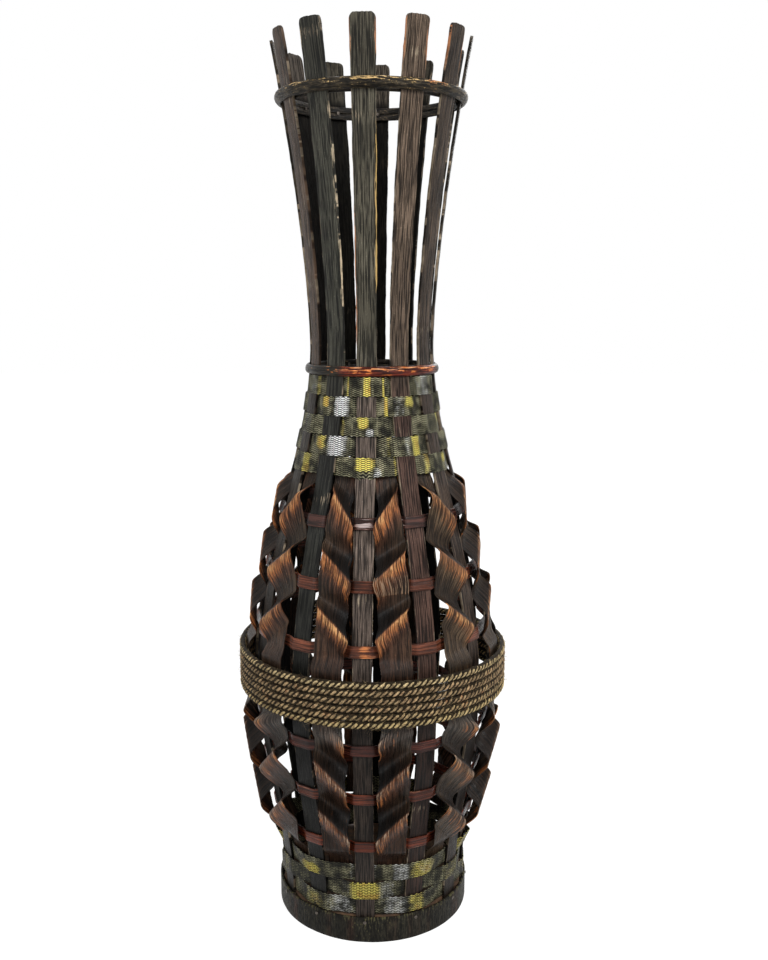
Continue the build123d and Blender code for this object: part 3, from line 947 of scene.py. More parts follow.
@dataclass
class Splints:
    """Twelve curled splints, which wave out over every weaver with their crests aslant."""

    thickness: float = 0.9 * MM
    neck_width: float = 17.5 * MM
    width: float = 25.0 * MM
    foot_width: float = 22.0 * MM
    pinch: float = 6.0 * MM
    tail: float = 12.0 * MM
    upper_crest: float = 8.8 * MM
    lower_crest: float = 12.6 * MM
    valley_depth: float = 3.0 * MM
    upper_lift: float = 11.5 * MM
    lower_lift: float = 22.0 * MM
    crest_tilt: float = 12.0 * MM
    crest_slope: float = 0.68
    slope_spread: float = 0.1
    sway: float = 4.0 * MM
    tuck_depth: float = 4.9 * MM
    neck_tuck: float = 16.0 * MM
    foot_tuck: float = 12.5 * MM
    foot_rise: float = 2.0 * MM
    rope_seat: float = 13.0 * MM
    rope_low: float = 189.3 * MM
    rope_high: float = 231.9 * MM
    swell: float = 5.0 * MM
    swell_shares: tuple[float, ...] = (1.0, 0.3, 0.0, 0.0, 0.3, 1.0, 1.0, 0.3, 0.0, 0.0, 0.3, 1.0)
    edge_wear: float = 0.55 * MM
    face_depth: float = 0.25 * MM
    face_ripple: float = 0.12 * MM
    edge_round: float = 0.2 * MM
    # Turn past the last row that a splint still makes, and how far a ridge reaches above its crest
    last_turn: float = 0.45
    ridge: float = 0.07
    rows: int = 420
    places: int = 21

    @staticmethod
    def hand(index: int) -> int:
        """Which way the crests of a splint lean."""
        return -1 if index % 2 == 0 else 1

    def row_turn(self, height: np.ndarray) -> np.ndarray:
        """Whole number at each row, growing downwards, with fractions between."""
        rows = np.array(WEAVE.rows())
        turns = np.arange(len(rows), dtype=float)
        turn = np.interp(-height, -rows, turns)
        above = (rows[0] - height) / (rows[0] - rows[1])
        below = turns[-1] + (rows[-1] - height) / (rows[-2] - rows[-1])
        return np.where(height > rows[0], above, np.where(height < rows[-1], below, turn))

    def half_width(self, height: np.ndarray) -> np.ndarray:
        """Half the width of a splint."""
        rows = WEAVE.rows()
        below = ease((WEAVE.neck_low() - self.neck_tuck - height) / (rows[0] - rows[1]))
        foot = ease((rows[-2] - height) / (rows[-2] - WEAVE.foot_top()))
        width = self.neck_width + (self.width - self.neck_width) * below
        return (width - (self.width - self.foot_width) * foot) / 2

    def turn(self, height: np.ndarray, across: np.ndarray, hand: int) -> np.ndarray:
        """How far down from a crest a point is: 0 on its top, and just under 1 above the next."""
        rows = WEAVE.rows()
        lower = ease((rows[0] - height) / (rows[0] - rows[WEAVE.rope_row - 1]))
        lift = self.upper_lift + (self.lower_lift - self.upper_lift) * lower
        turn = self.row_turn(height - lift - self.crest_tilt * across * hand)
        last_above = WEAVE.rope_row - 1 + self.last_turn
        held = np.where(height > rows[WEAVE.rope_row], np.minimum(turn, last_above), turn)
        held = np.minimum(held, len(rows) - 1 + self.last_turn)
        return (held + self.ridge) % 1 - self.ridge

    def crest_share(self, height: np.ndarray, across: np.ndarray, hand: int) -> np.ndarray:
        """How near a point is to a crest, from 0 in a valley to 1, falling slowly and rising fast."""
        place = self.turn(height, across, hand) % 1
        slope = self.crest_slope + self.slope_spread * across * hand
        falling = (1 + np.cos(math.pi * np.minimum(place / slope, 1))) / 2
        rising = ease((place - slope) / (1 - slope))
        return np.where(place < slope, falling, rising)

    def held(self, height: np.ndarray) -> tuple[np.ndarray, np.ndarray, np.ndarray]:
        """How far the rope, the neck's ribbons and the foot's ribbons hold a splint at each height."""
        away = np.maximum(height - self.rope_high, self.rope_low - height) / self.rope_seat
        neck = ease((height - WEAVE.neck_low() + WALL.clearance + self.neck_tuck) / self.neck_tuck)
        foot = ease((WEAVE.foot_top() + self.foot_rise + self.foot_tuck - height) / self.foot_tuck)
        return 1 - ease(away), neck, foot

    def radius(self, height: np.ndarray, across: np.ndarray, index: int) -> np.ndarray:
        """Distance of a splint's outer face from the axis.

        Args:
            height: Heights.
            across: Places over the width, from -1 to 1.
            index: Number of the splint, from 0.

        Returns:
            Distances.
        """
        wall = WALL.radius(height)
        crest_share = self.crest_share(height, across, self.hand(index))
        below_rope = ease((self.rope_high - height) / (self.rope_high - self.rope_low))
        crest = self.upper_crest + (self.lower_crest - self.upper_crest) * below_rope
        valley = self.valley_depth * np.sin(math.pi * self.row_turn(height)) ** 2
        radius = wall + crest * crest_share - valley * (1 - crest_share)
        inside = math.hypot(WALL.belly_radius + (self.upper_crest + self.lower_crest) / 4, self.width / 2)
        seat = math.sqrt(inside**2 - (self.width / 2) ** 2)
        rope, neck, foot = self.held(height)
        radius = radius + (seat - radius) * rope
        radius = radius + (wall - self.tuck_depth - radius) * neck
        climb = np.clip((height - WEAVE.foot_top() + WEAVE.ribbon_width) / WEAVE.ribbon_width, 0, 1)
        push = self.swell * self.swell_shares[index] * climb
        return radius + (wall - self.tuck_depth + push - radius) * foot

    def skin(self, index: int) -> Skin:
        """Outer face of one splint."""
        hand = self.hand(index)
        azimuth = WALL.azimuth(index + 0.5)
        low = WEAVE.foot_top() - self.tail
        high = WEAVE.neck_low() + self.tail
        height = np.linspace(low, high, self.rows)[:, None]
        across = np.linspace(-1, 1, self.places)[None, :]
        half = self.half_width(height)
        near_foot = ease((WEAVE.foot_top() + self.foot_tuck - height) / self.foot_tuck)
        half = half - self.pinch / 2 * self.swell_shares[index] * near_foot
        ragged = self.edge_wear * (uneven(height + 0.2 * np.sign(across), 0.035, 500 + index) - 0.5)
        side = across * half + np.where(np.abs(across) > 0.99, np.sign(across) * ragged, 0)
        rope, neck, foot = self.held(height)
        crest = self.crest_share(height, across, hand)
        side = side - hand * self.sway * crest**2 * (1 - rope) * (1 - neck) * (1 - foot)
        outward = self.radius(height, across, index)
        ripple = self.face_ripple * uneven(across * 0.01, 0.0045, 700 + index)
        points = plan(azimuth, outward + ripple - self.face_depth, side, height)
        uv = spread_flat(across * half + 0.17 * (index + 1), height)
        return Skin(points, uv, self._marks(index, across, height))

    def _marks(self, index: int, across: np.ndarray, height: np.ndarray) -> dict[str, np.ndarray]:
        """Colours of a splint: orange below each ridge, partly rubbed-through wood and partly a painted
        highlight, brown further down, and near black in the hollow, a dark stain with painted shade over it.

        Args:
            index: Number of the splint, from 0.
            across: Places over the width, from -1 to 1.
            height: Heights.

        Returns:
            Its stain with painted light and shade worked in, the colour of its worn wood and painted sheen,
            and the amount of both.
        """
        hand = self.hand(index)
        place = self.turn(height, across, hand)
        azimuth = WALL.azimuth(index + 0.5)
        right_side = float(ease(np.array((azimuth - 20) / 20)) * ease(np.array((130 - azimuth) / 20)))
        below = ease((self.rope_low + 0.004 - height) / 0.006)
        rope, neck, foot = self.held(height)
        leaf = 0.84 + 0.16 * uneven(height, 0.055, 900 + index)
        slow = 0.5 + 0.5 * uneven(height + 0.4 * across * 0.02, 0.03, 940 + index)
        tip = np.clip(-across * hand, 0, 1) ** 2
        crest_edge = np.clip(across * hand, 0, 1) ** 3
        # Orange below each ridge, on the side of the crest that faces up: partly wood rubbed through the
        # stain and partly a painted highlight
        rise = ease((place + self.ridge) / 0.05)
        fade = 1 - ease((place - 0.08 - 0.14 * tip) / 0.32)
        upper = rise * fade * leaf * (0.36 + 0.24 * slow) * (1 - 0.3 * right_side)
        lower = rise * fade * (0.24 + 0.24 * crest_edge + 0.24 * tip)
        wear_and_sheen = upper + (lower - upper) * below
        wear_and_sheen = wear_and_sheen * (1 - neck) * (1 - 0.6 * foot) * (1 - 0.7 * rope)
        wood_and_sheen = toward(tint(180, 112, 66), tint(232, 176, 118), slow * (1 - ease(place / 0.2)))
        # Painted highlight: a thin grey sheen along each ridge below the rope
        wear_and_sheen = wear_and_sheen + 0.3 * below * hump(place, -0.015, 0.025) * tip * (1 - neck) * (1 - foot) * (1 - rope)
        wood_and_sheen = toward(wood_and_sheen, tint(172, 146, 124), below * (1 - ease((place - 0.03) / 0.05)))
        brown = tint(78, 52, 39)
        brown = brown + (tint(84, 68, 52) - brown) * right_side
        side_on = float(ease(np.array((abs(azimuth) - 25) / 20)))
        high_side = (0.5 + 0.5 * across * hand) * (1 - side_on) * 0.8 + side_on
        dark = toward(tint(46, 32, 25), tint(54, 43, 33), high_side)
        # Near black in the hollow above each ridge, a dark stain with painted shade over it, softer on the
        # high side and on splints seen side on
        hollow_stain_and_shade = toward(tint(9, 7, 6), tint(38, 29, 23), high_side)
        # Darker further down each crest, partly stain and partly painted shade where the strip faces down
        stain_and_shade = toward(brown, dark, ease((place - 0.22) / 0.36))
        hollow = 0.66 + 0.2 * across * hand
        stain_and_shade = toward(stain_and_shade, hollow_stain_and_shade, ease((place - hollow) / 0.16))
        # The stain warms to orange below each ridge, partly rubbed wood and partly a painted highlight
        crest_sheen_and_wear = (1 - ease((place - 0.02 - 0.12 * tip) / 0.3)) * (0.75 - 0.3 * right_side) * (1 - 0.45 * below)
        crest_sheen_and_wear = crest_sheen_and_wear * leaf * (1 - neck) * (1 - rope) * (1 - foot)
        stain_and_shade = toward(stain_and_shade, tint(158, 100, 64), crest_sheen_and_wear)
        # Painted shade: near black above the ridge, where the strip turns into the hollow
        stain_and_shade = toward(hollow_stain_and_shade, stain_and_shade, rise)
        # Painted shade: darker below the rope and where the rope holds the splint
        stain_and_shade = stain_and_shade * ((1 - 0.3 * below) * (1 - 0.5 * rope))[..., None]
        # Painted sheen: the stain greyed just below the rope
        under_rope_sheen = hump(height, self.rope_low - 0.006, 0.01) * rise
        stain_and_shade = toward(stain_and_shade, tint(84, 78, 72), 0.6 * under_rope_sheen)
        if index == Front.MIDDLE:
            frayed = span(height, 0.288, 0.303, 0.002, 0.002)
            wear_and_sheen = np.maximum(wear_and_sheen, 0.42 * frayed)
            wood_and_sheen = toward(wood_and_sheen, tint(150, 122, 98), frayed)
        return {"dye": stain_and_shade, "wood_and_sheen": wood_and_sheen, "wear_and_sheen": np.clip(wear_and_sheen, 0, 1)}

    def build(self) -> int:
        """Make and dress all splints.

        Returns:
            How many there are.
        """
        face = BambooFinish(
            "splint_face", lines=1500, stretch=30, contrast=0.62, streaks=0.22, roughness=0.36,
            worn_size=1.1 * MM, worn_stretch=12,
        )
        back = BambooFinish("splint_back", lines=900, stretch=30, roughness=0.6, specular=0.07)
        materials = (face.material(), back.material())
        for index in range(WALL.slat_count):
            name = f"curled_splint_{index + 1:02d}"
            piece = Workbench.make(
                f"{name}_strip", self.skin(index), materials, closed=False,
                depth=self.thickness - self.face_depth, round_off=self.edge_round, segments=1,
            )
            Workbench.hand_over(piece, "splint", name)
        return WALL.slat_count


class Crossing(Enum):
    """How a band meets the slats."""

    OVER_EVEN = 0
    OVER_ODD = 1
    OVER_ALL = 2


@dataclass
class Band:
    """A closed band woven round the slats: its route in plan, and how finely it is laid."""

    low: float
    high: float
    thickness: float
    crossing: Crossing
    dip: float = 0.0
    dip_half: float = 0.0
    swell: float = 0.0
    swell_shares: tuple[float, ...] = ()
    swell_half: float = 0.0
    places: int = 720
    rows: int = 4
    round_steps: int = 3

    def _corners(self, height: float) -> np.ndarray:
        """Corners of the band's outer face at one height, in plan, going round once."""
        side = WALL.slat_width / 2 + WALL.clearance
        wall = float(WALL.radius(np.array(height)))
        over = wall + WALL.clearance + self.thickness
        under = wall - WALL.slat_thickness - WALL.clearance
        corners = []
        for index in range(WALL.slat_count):
            here = index % 2 == self.crossing.value or self.crossing is Crossing.OVER_ALL
            outward = over if here else under
            azimuth = WALL.azimuth(index)
            for edge in (-side, side):
                corners.append(plan(azimuth, outward, edge, height))
            if self.dip_half:
                for edge in (-self.dip_half, self.dip_half):
                    corners.append(plan(azimuth + WALL.step() / 2, wall - self.dip, edge, height))
        if self.swell:
            corners = self._swollen(corners, height)
        return np.array(corners)

    def _swollen(self, corners: list[np.ndarray], height: float) -> list[np.ndarray]:
        """Push the upper edge out between the slats, where the splints' ends lie behind it."""
        share_up = (height - self.low) / (self.high - self.low)
        made = []
        for index in range(WALL.slat_count):
            start = corners[2 * index + 1]
            end = corners[(2 * index + 2) % len(corners)]
            push = self.swell * self.swell_shares[index] * share_up
            out = plan(WALL.azimuth(index + 0.5), push, 0.0, 0.0)
            share = 0.5 - self.swell_half / float(np.linalg.norm(end - start))
            made += [corners[2 * index], start]
            made += [start + (end - start) * along + out for along in (share, 1 - share)]
        return made

    def rings(self) -> tuple[np.ndarray, np.ndarray]:
        """Lay the band.

        Returns:
            Its points, row by row from the lower edge, and the length along each row.
        """
        rings, lengths = [], []
        for height in np.linspace(self.low, self.high, self.rows):
            corners = self._corners(float(height))
            closed = np.vstack([corners, corners[:1]])
            run = np.concatenate([[0], np.cumsum(np.linalg.norm(np.diff(closed, axis=0), axis=1))])
            spots = np.linspace(0, run[-1], self.places)
            line = np.stack([np.interp(spots, run, closed[:, axis]) for axis in range(3)], axis=-1)[:-1]
            for _ in range(self.round_steps):
                line = (np.roll(line, 1, axis=0) + 2 * line + np.roll(line, -1, axis=0)) / 4
            rings.append(np.vstack([line, line[:1]]))
            lengths.append(spots)
        return np.array(rings), np.array(lengths)


def pushed(rings: np.ndarray, amount: np.ndarray) -> np.ndarray:
    """Move points of rings round the axis outwards by an amount."""
    return rings + away_from_axis(rings) * amount[..., None]


def seed_of(name: str) -> int:
    """A seed that a name always gives."""
    return sum(ord(letter) for letter in name)


def azimuths(rings: np.ndarray) -> np.ndarray:
    """Azimuth of each point in degrees, from -180 to 180."""
    return np.degrees(np.arctan2(rings[:, :, 0], -rings[:, :, 1]))


@dataclass
class Weavers:
    """Six narrow, glossy splints that run round over every slat and under every curled splint."""

    height: float = 9.0 * MM
    thickness: float = 1.0 * MM
    dip: float = 1.6 * MM
    edge_round: float = 0.25 * MM
    drift: float = 0.25 * MM
    stains: tuple[Colour, ...] = (
        dye(60, 36, 30), dye(96, 52, 36), dye(100, 55, 38), dye(70, 34, 26), dye(84, 40, 26),
        dye(96, 42, 24),
    )

    def _marks(
        self, number: int, rings: np.ndarray, lengths: np.ndarray, up: np.ndarray
    ) -> dict[str, np.ndarray]:
        """Stain and wear of a weaver, with its pale painted highlights on the front."""
        around = azimuths(rings)
        tone = 0.95 + 0.2 * uneven(lengths, 0.07, 50 + number)
        stain_and_shade = np.array(self.stains[number]) * tone[..., None]
        wear_and_sheen = 0.26 * np.abs(up) ** 4 * (0.6 + 0.4 * uneven(lengths, 0.04, 70 + number))
        wood_and_sheen, pale, orange = tint(164, 108, 84), tint(200, 182, 178), tint(226, 140, 84)
        if number == 0:
            # Painted highlights: pale glints on the first weaver at the front
            painted_highlight = (hump(around, -4, 5) + hump(around, 17, 3)) * (1 - np.abs(up) ** 3)
            wear_and_sheen = wear_and_sheen + 0.6 * painted_highlight
            wood_and_sheen = toward(wood_and_sheen, pale, np.clip(painted_highlight * 1.4, 0, 1))
        if number == 2:
            spot = hump(around, -3, 4)
            wear_and_sheen = wear_and_sheen + 0.36 * spot
            wood_and_sheen = toward(wood_and_sheen, orange, spot)
        return {"dye": stain_and_shade, "wood_and_sheen": wood_and_sheen, "wear_and_sheen": np.clip(wear_and_sheen, 0, 1)}

    def build(self, splints: Splints) -> int:
        """Make and dress the weavers.

        Args:
            splints: The curled splints that they pass under.

        Returns:
            How many there are.
        """
        finish = BambooFinish(
            "weaver_gloss", lines=900, stretch=40, along_u=True, contrast=0.5, roughness=0.3, coat=0.14,
        )
        material = finish.material()
        rows = [row for place, row in enumerate(WEAVE.rows()) if place != WEAVE.rope_row]
        for number, row in enumerate(rows):
            reach = float(splints.half_width(np.array(row))) + WALL.clearance
            band = Band(
                row - self.height / 2, row + self.height / 2, self.thickness, Crossing.OVER_ALL,
                dip=self.dip, dip_half=reach, places=600, rows=7, round_steps=4,
            )
            rings, lengths = band.rings()
            up = np.linspace(-1, 1, band.rows)[:, None]
            rings = pushed(rings, -0.12 * MM * up**2 - 0.06 * MM * (1 + uneven(lengths, 0.05, 20 + number)))
            rings[:, :, 2] += self.drift * uneven(lengths, 0.11, 30 + number)
            uv = spread_flat(lengths, rings[:, :, 2] + 0.21 * number)
            name = f"weaver_{number + 1}"
            skin = Skin(rings, uv, self._marks(number, rings, lengths, up))
            piece = Workbench.make(
                f"{name}_splint", skin, (material,), depth=self.thickness, round_off=self.edge_round,
            )
            Workbench.hand_over(piece, "weaver", name)
        return len(rows)


Patch = tuple[float, float, float, float, float]
Patches = tuple[tuple[Patch, ...], ...]


@dataclass
class Ribbons:
    """Woven tapes, over one slat and under the next, at the foot and at the neck."""

    thickness: float = 0.6 * MM
    relief: float = 0.14 * MM
    chevron: float = 7.0 * MM
    thread_rows: int = 10
    loose_corner: float = 5.0 * MM
    loose_edge: float = 0.25 * MM
    drift: float = 0.22 * MM
    # Where each tape has gold and silver, partly metallic thread and partly painted highlight and
    # reflection: azimuth, reach in degrees, share of its height, reach upwards, and amount
    foot_gold: Patches = (
        ((-37, 8, 0.4, 0.6, 0.45), (27, 6, 0.5, 2, 0.55), (86, 10, 0.5, 2, 0.4), (-94, 10, 0.5, 2, 0.4)),
        ((-4, 9, 0.45, 0.8, 0.95), (56, 10, 0.5, 1, 0.35), (-64, 8, 0.5, 1, 0.3), (116, 10, 0.5, 1, 0.6),
         (176, 12, 0.5, 1, 0.5)),
        ((-39, 8, 0.28, 0.4, 0.8), (31, 9, 0.4, 0.7, 0.7), (66, 12, 0.5, 1, 0.6), (-76, 14, 0.5, 1, 0.6),
         (146, 10, 0.5, 1, 0.6), (-154, 10, 0.5, 1, 0.5)),
    )
    foot_silver: Patches = (
        ((-19, 9, 0.5, 2, 0.5), (14, 8, 0.5, 2, 0.55)),
        ((9, 5, 0.5, 2, 0.45), (-16, 3, 0.5, 2, 0.3)),
        ((17, 5, 0.5, 2, 0.6), (33, 7, 0.6, 0.6, 0.35), (-12, 1.5, 0.5, 2, 0.4), (1.5, 1.5, 0.5, 2, 0.4)),
    )
    neck_gold: Patches = (
        ((-3.5, 3.2, 0.5, 2, 0.9), (-20.9, 1.2, 0.5, 2, 0.7), (10.4, 1.2, 0.5, 2, 0.75),
         (-52, 2, 0.5, 2, 0.5), (116, 6, 0.5, 1, 0.6), (-124, 6, 0.5, 1, 0.5)),
        ((-41, 4, 0.75, 0.35, 0.8), (12.3, 1.8, 0.5, 2, 0.85), (33, 5, 0.75, 0.4, 0.7),
         (146, 6, 0.6, 1, 0.6)),
        ((-6.5, 4.5, 0.72, 0.33, 1), (-23.7, 2, 0.5, 2, 0.45), (67, 4, 0.8, 0.3, 0.8),
         (176, 6, 0.6, 1, 0.6)),
        ((-41.7, 6, 0.7, 0.4, 0.75), (13, 2, 0.5, 2, 0.4), (35, 4, 0.5, 1, 0.85), (-154, 6, 0.5, 1, 0.6)),
        ((-4.5, 7, 0.68, 0.38, 0.95), (-28, 1.5, 0.5, 2, 0.5), (17.5, 1.2, 0.5, 2, 0.5),
         (43.5, 2.5, 0.5, 2, 0.5), (64.7, 5, 0.75, 0.3, 0.8), (-54, 4, 0.5, 1, 0.6), (116, 6, 0.6, 1, 0.6)),
    )
    neck_silver: Patches = (
        ((50, 9, 0.5, 2, 0.45), (-58, 6, 0.5, 2, 0.35)),
        ((-25.4, 6.5, 0.5, 2, 0.9), (22.9, 5, 0.4, 0.8, 0.4)),
        ((-1, 3.5, 0.2, 0.25, 0.7), (-64, 8, 0.5, 1, 0.3)),
        ((-27, 8, 0.5, 2, 0.8), (27.5, 3, 0.5, 0.8, 0.4)),
        ((4.3, 3, 0.25, 0.3, 0.6), (69.5, 3, 0.3, 0.4, 0.6)),
    )

    def _shine(self, spots: tuple[Patch, ...], around: np.ndarray, up: np.ndarray) -> np.ndarray:
        """Amount of one shine over a tape, partly metallic colour and partly painted highlight and
        reflection.

        Args:
            spots: The patches of this tape.
            around: Azimuth of each point.
            up: Share of the height of each point.

        Returns:
            The amount at each point.
        """
        total = np.zeros(around.shape)
        for azimuth, reach, share, up_reach, amount in spots:
            away = turned_from(around, azimuth)
            steep = (away / reach) ** 4 + ((up - share) / up_reach) ** 4
            total = total + amount * np.exp(-steep)
        return np.clip(total, 0, 1)

    def _tape(
        self, name: str, band: Band, gold: tuple[Patch, ...], silver_and_reflection: tuple[Patch, ...],
        material: bpy.types.Material,
    ) -> None:
        """Make one tape.

        Args:
            name: The node that it stands for.
            band: Its route.
            gold: Its gold patches, partly painted highlight.
            silver_and_reflection: Its silver patches, partly painted reflection.
            material: Woven tape.
        """
        rings, lengths = band.rings()
        seed = seed_of(name)
        up = np.linspace(0, 1, band.rows)[:, None]
        middle = lengths.mean(axis=0)[None, :]
        ridge = np.where(np.arange(band.rows) % 2 == 1, 1.0, 0.0)[:, None]
        chevron = np.abs(((middle / self.chevron) % 1) - 0.5) * 2
        relief = self.relief * (ridge * (0.6 + 0.4 * chevron) - 1)
        edge = np.abs(2 * up - 1) ** 6
        loose = self.loose_edge * edge * (uneven(middle, 0.045, seed) - 0.8)
        rings = pushed(rings, relief + loose)
        rings[:, :, 2] += self.drift * uneven(middle, 0.08, seed + 1)
        around = azimuths(rings)
        if name == "neck_ribbon_5":
            rings[:, :, 2] -= self.loose_corner * hump(around, -4, 4) * np.clip(1 - up / 0.35, 0, 1)
        marks = {"gold": self._shine(gold, around, up), "silver_and_reflection": self._shine(silver_and_reflection, around, up)}
        uv = spread_flat(middle, up * WEAVE.ribbon_width + 0.05 * (seed % 17))
        depth = self.thickness - self.relief
        skin = Skin(rings, uv, marks)
        piece = Workbench.make(f"{name}_tape", skin, (material,), depth=depth, angle=60)
        Workbench.hand_over(piece, "ribbon", name)

    def build(self, splints: Splints) -> int:
        """Make and dress all tapes.

        Args:
            splints: The curled splints, whose ends push the top tape of the foot out.

        Returns:
            How many there are.
        """
        material = TapeFinish().material()
        rows = 2 * self.thread_rows + 1
        for number in range(WEAVE.foot_ribbons):
            low = WALL.foot_height + WALL.clearance + number * WEAVE.pitch()
            crossing = Crossing.OVER_EVEN if number % 2 == 0 else Crossing.OVER_ODD
            band = Band(low, low + WEAVE.ribbon_width, self.thickness, crossing, rows=rows)
            if number == WEAVE.foot_ribbons - 1:
                band.swell = splints.swell
                band.swell_shares = splints.swell_shares
                band.swell_half = (splints.foot_width - splints.pinch) / 2
            name = f"foot_ribbon_{number + 1}"
            self._tape(name, band, self.foot_gold[number], self.foot_silver[number], material)
        for number in range(WEAVE.neck_ribbons):
            high = WEAVE.neck_top - number * WEAVE.pitch()
            crossing = Crossing.OVER_ODD if number % 2 == 0 else Crossing.OVER_EVEN
            band = Band(high - WEAVE.ribbon_width, high, self.thickness, crossing, rows=rows, places=560)
            name = f"neck_ribbon_{number + 1}"
            self._tape(name, band, self.neck_gold[number], self.neck_silver[number], material)
        return WEAVE.foot_ribbons + WEAVE.neck_ribbons


@dataclass
class Hoops:
    """Split canes round the mouth and the neck: one outside the slats and two strands inside."""

    rim_middle: float = 654.8 * MM
    rim_height: float = 8.8 * MM
    rim_depth: float = 3.7 * MM
    rim_inner_height: float = 10.4 * MM
    neck_middle: float = 451.7 * MM
    neck_height: float = 7.8 * MM
    neck_depth: float = 2.6 * MM
    inner_depth: float = 2.5 * MM
    strand_gap: float = 0.1 * MM
    rim_seam: float = -58.0
    neck_seam: float = 118.0
    around: int = 240
    section: int = 16

    def _grid(self) -> tuple[np.ndarray, np.ndarray]:
        """Azimuth in degrees, and turn round the section, of each point of a hoop."""
        around = np.linspace(0, 360, self.around + 1)
        azimuth, turn = np.meshgrid(around, np.linspace(0, TURN, self.section + 1))
        return azimuth, turn

    def _outer(self, name: str, middle: float, height: float, depth: float, seam: float) -> Skin:
        """Skin of an outer hoop, half round, whose flat back leans with the slats.

        Args:
            name: Chooses its unevenness.
            middle: Height of its middle.
            height: Its height.
            depth: Its depth.
            seam: Azimuth where its scarfed ends overlap.

        Returns:
            The closed skin.
        """
        seed = seed_of(name)
        low = WALL.corner_radius(middle - height / 2) + WALL.clearance
        high = WALL.corner_radius(middle + height / 2) + WALL.clearance
        azimuth, turn = self._grid()
        rise, out = np.sin(turn), np.cos(turn)
        away = turned_from(azimuth, seam)
        lap = hump(away, 0, 14) * (0.55 + 0.45 * np.tanh(away / 1.2))
        girth = 1 - 0.06 * (1 + uneven(azimuth, 120, seed)) + 0.05 * lap
        radius = (low + high) / 2 + (high - low) / 2 * rise + np.where(out > 0, depth * out * girth, 0.0)
        radius = radius + np.where(out < 0, -0.15 * MM * out, 0.0)
        z = middle + height / 2 * rise * (0.94 + 0.05 * uneven(azimuth, 75, seed + 1))
        points = met(plan(azimuth, radius, 0.0, z), True)
        return Skin(points, spread_flat((low + high) / 2 * np.radians(azimuth), turn * height / 3))

    def _strand(
        self, middle: float, height: float, whole_middle: float, whole_height: float, seed: int
    ) -> Skin:
        """Skin of one inner strand, which leans with the inner faces of the slats.

        Args:
            middle: Height of its middle.
            height: Its height.
            whole_middle: Height of the middle of the pair.
            whole_height: Height of the pair.
            seed: Chooses its unevenness.

        Returns:
            The closed skin.
        """
        gap = WALL.slat_thickness + WALL.clearance
        heights = np.array([whole_middle - whole_height / 2, whole_middle + whole_height / 2])
        ends = WALL.radius(heights) - gap
        azimuth, turn = self._grid()
        rise, out = (np.sign(wave) * np.abs(wave) ** 0.7 for wave in (np.sin(turn), np.cos(turn)))
        z = middle + height / 2 * rise
        outer = ends[0] + (ends[1] - ends[0]) * ((z - whole_middle) / whole_height + 0.5)
        thick = self.inner_depth * (0.94 + 0.05 * uneven(azimuth, 90, seed))
        points = met(plan(azimuth, outer - thick / 2 + out * thick / 2, 0.0, z), True)
        return Skin(points, spread_flat(ends[0] * np.radians(azimuth), turn * height / 3))

    def _dress(
        self, name: str, node: str, skin: Skin, marks: dict[str, np.ndarray], material: bpy.types.Material
    ) -> None:
        """Lay a hoop, close it and dress it.

        Args:
            name: Name of the new piece.
            node: The node that it stands for.
            skin: Its skin.
            marks: Its stain, and the colour and amount of its wear and painted sheen.
            material: Its material.
        """
        skin.marks = marks
        Workbench.hand_over(Workbench.make(name, skin, (material,), angle=60), "hoop", node)

    def _rim_marks(self) -> dict[str, np.ndarray]:
        """Stain, worn wood and wear of the rim's outer hoop, most worn on its upper front."""
        azimuth, turn = self._grid()
        away = turned_from(azimuth, 0.0)
        upper = hump(turn, 0.9, 0.75)
        stain_and_shade = tint(54, 47, 36) * (0.9 + 0.25 * uneven(away, 55, 5))[..., None]
        wear_and_sheen = upper * (0.5 * hump(away, 2, 12) + 0.3 * hump(away, 40, 16) + 0.24 * hump(away, -45, 18))
        wear_and_sheen = wear_and_sheen + 0.2 * (0.5 + 0.5 * uneven(away, 40, 6)) * (0.5 + upper)
        spots = np.clip(hump(away, 37, 3) + hump(away, 45, 3), 0, 1)
        wood_and_sheen = toward(tint(226, 190, 130), tint(206, 128, 78), spots)
        return {"dye": stain_and_shade, "wood_and_sheen": wood_and_sheen, "wear_and_sheen": np.clip(wear_and_sheen, 0, 1)}

    def _neck_marks(self) -> dict[str, np.ndarray]:
        """Stain, worn wood and wear of the neck's outer hoop, red on the front, with rubbed orange streaks
        that are partly wear and partly a painted highlight, palest on the upper side.
        """
        azimuth, turn = self._grid()
        away = turned_from(azimuth, 0.0)
        front = ease((away + 32) / 12) * ease((80 - away) / 20)
        stain_and_shade = toward(tint(38, 34, 26), tint(96, 36, 24), front)
        # Rubbed streaks across the front, partly wear and partly a painted highlight
        wear_and_sheen = front * hump(turn, 0.55, 0.8) * (0.44 + 0.2 * uneven(away, 22, 9)) + 0.08
        # Painted highlight: the worn colour paler along the upper side
        share = hump(turn, 0.9, 0.5) * (0.5 + 0.5 * uneven(away, 16, 4))
        wood_and_sheen = toward(tint(224, 128, 62), tint(250, 190, 140), share)
        return {"dye": stain_and_shade, "wood_and_sheen": wood_and_sheen, "wear_and_sheen": np.clip(wear_and_sheen, 0, 1)}

    def _inner(self, place: str, middle: float, height: float, material: bpy.types.Material) -> None:
        """Make the pair of strands inside the slats at the rim or at the neck.

        Args:
            place: Which of the two.
            middle: Height of the middle of the pair.
            height: Height of the pair.
            material: Its material.
        """
        strand = height / 2 - self.strand_gap
        for side, word in ((-1, "lower"), (1, "upper")):
            centre = middle + side * height / 4
            skin = self._strand(centre, strand, middle, height, 70 + side)
            marks = {"dye": tint(36, 32, 27), "wood_and_sheen": tint(96, 82, 64), "wear_and_sheen": np.array([[0.14]])}
            self._dress(f"{place}_cane_inner_{word}", f"{place}_hoop_inner", skin, marks, material)

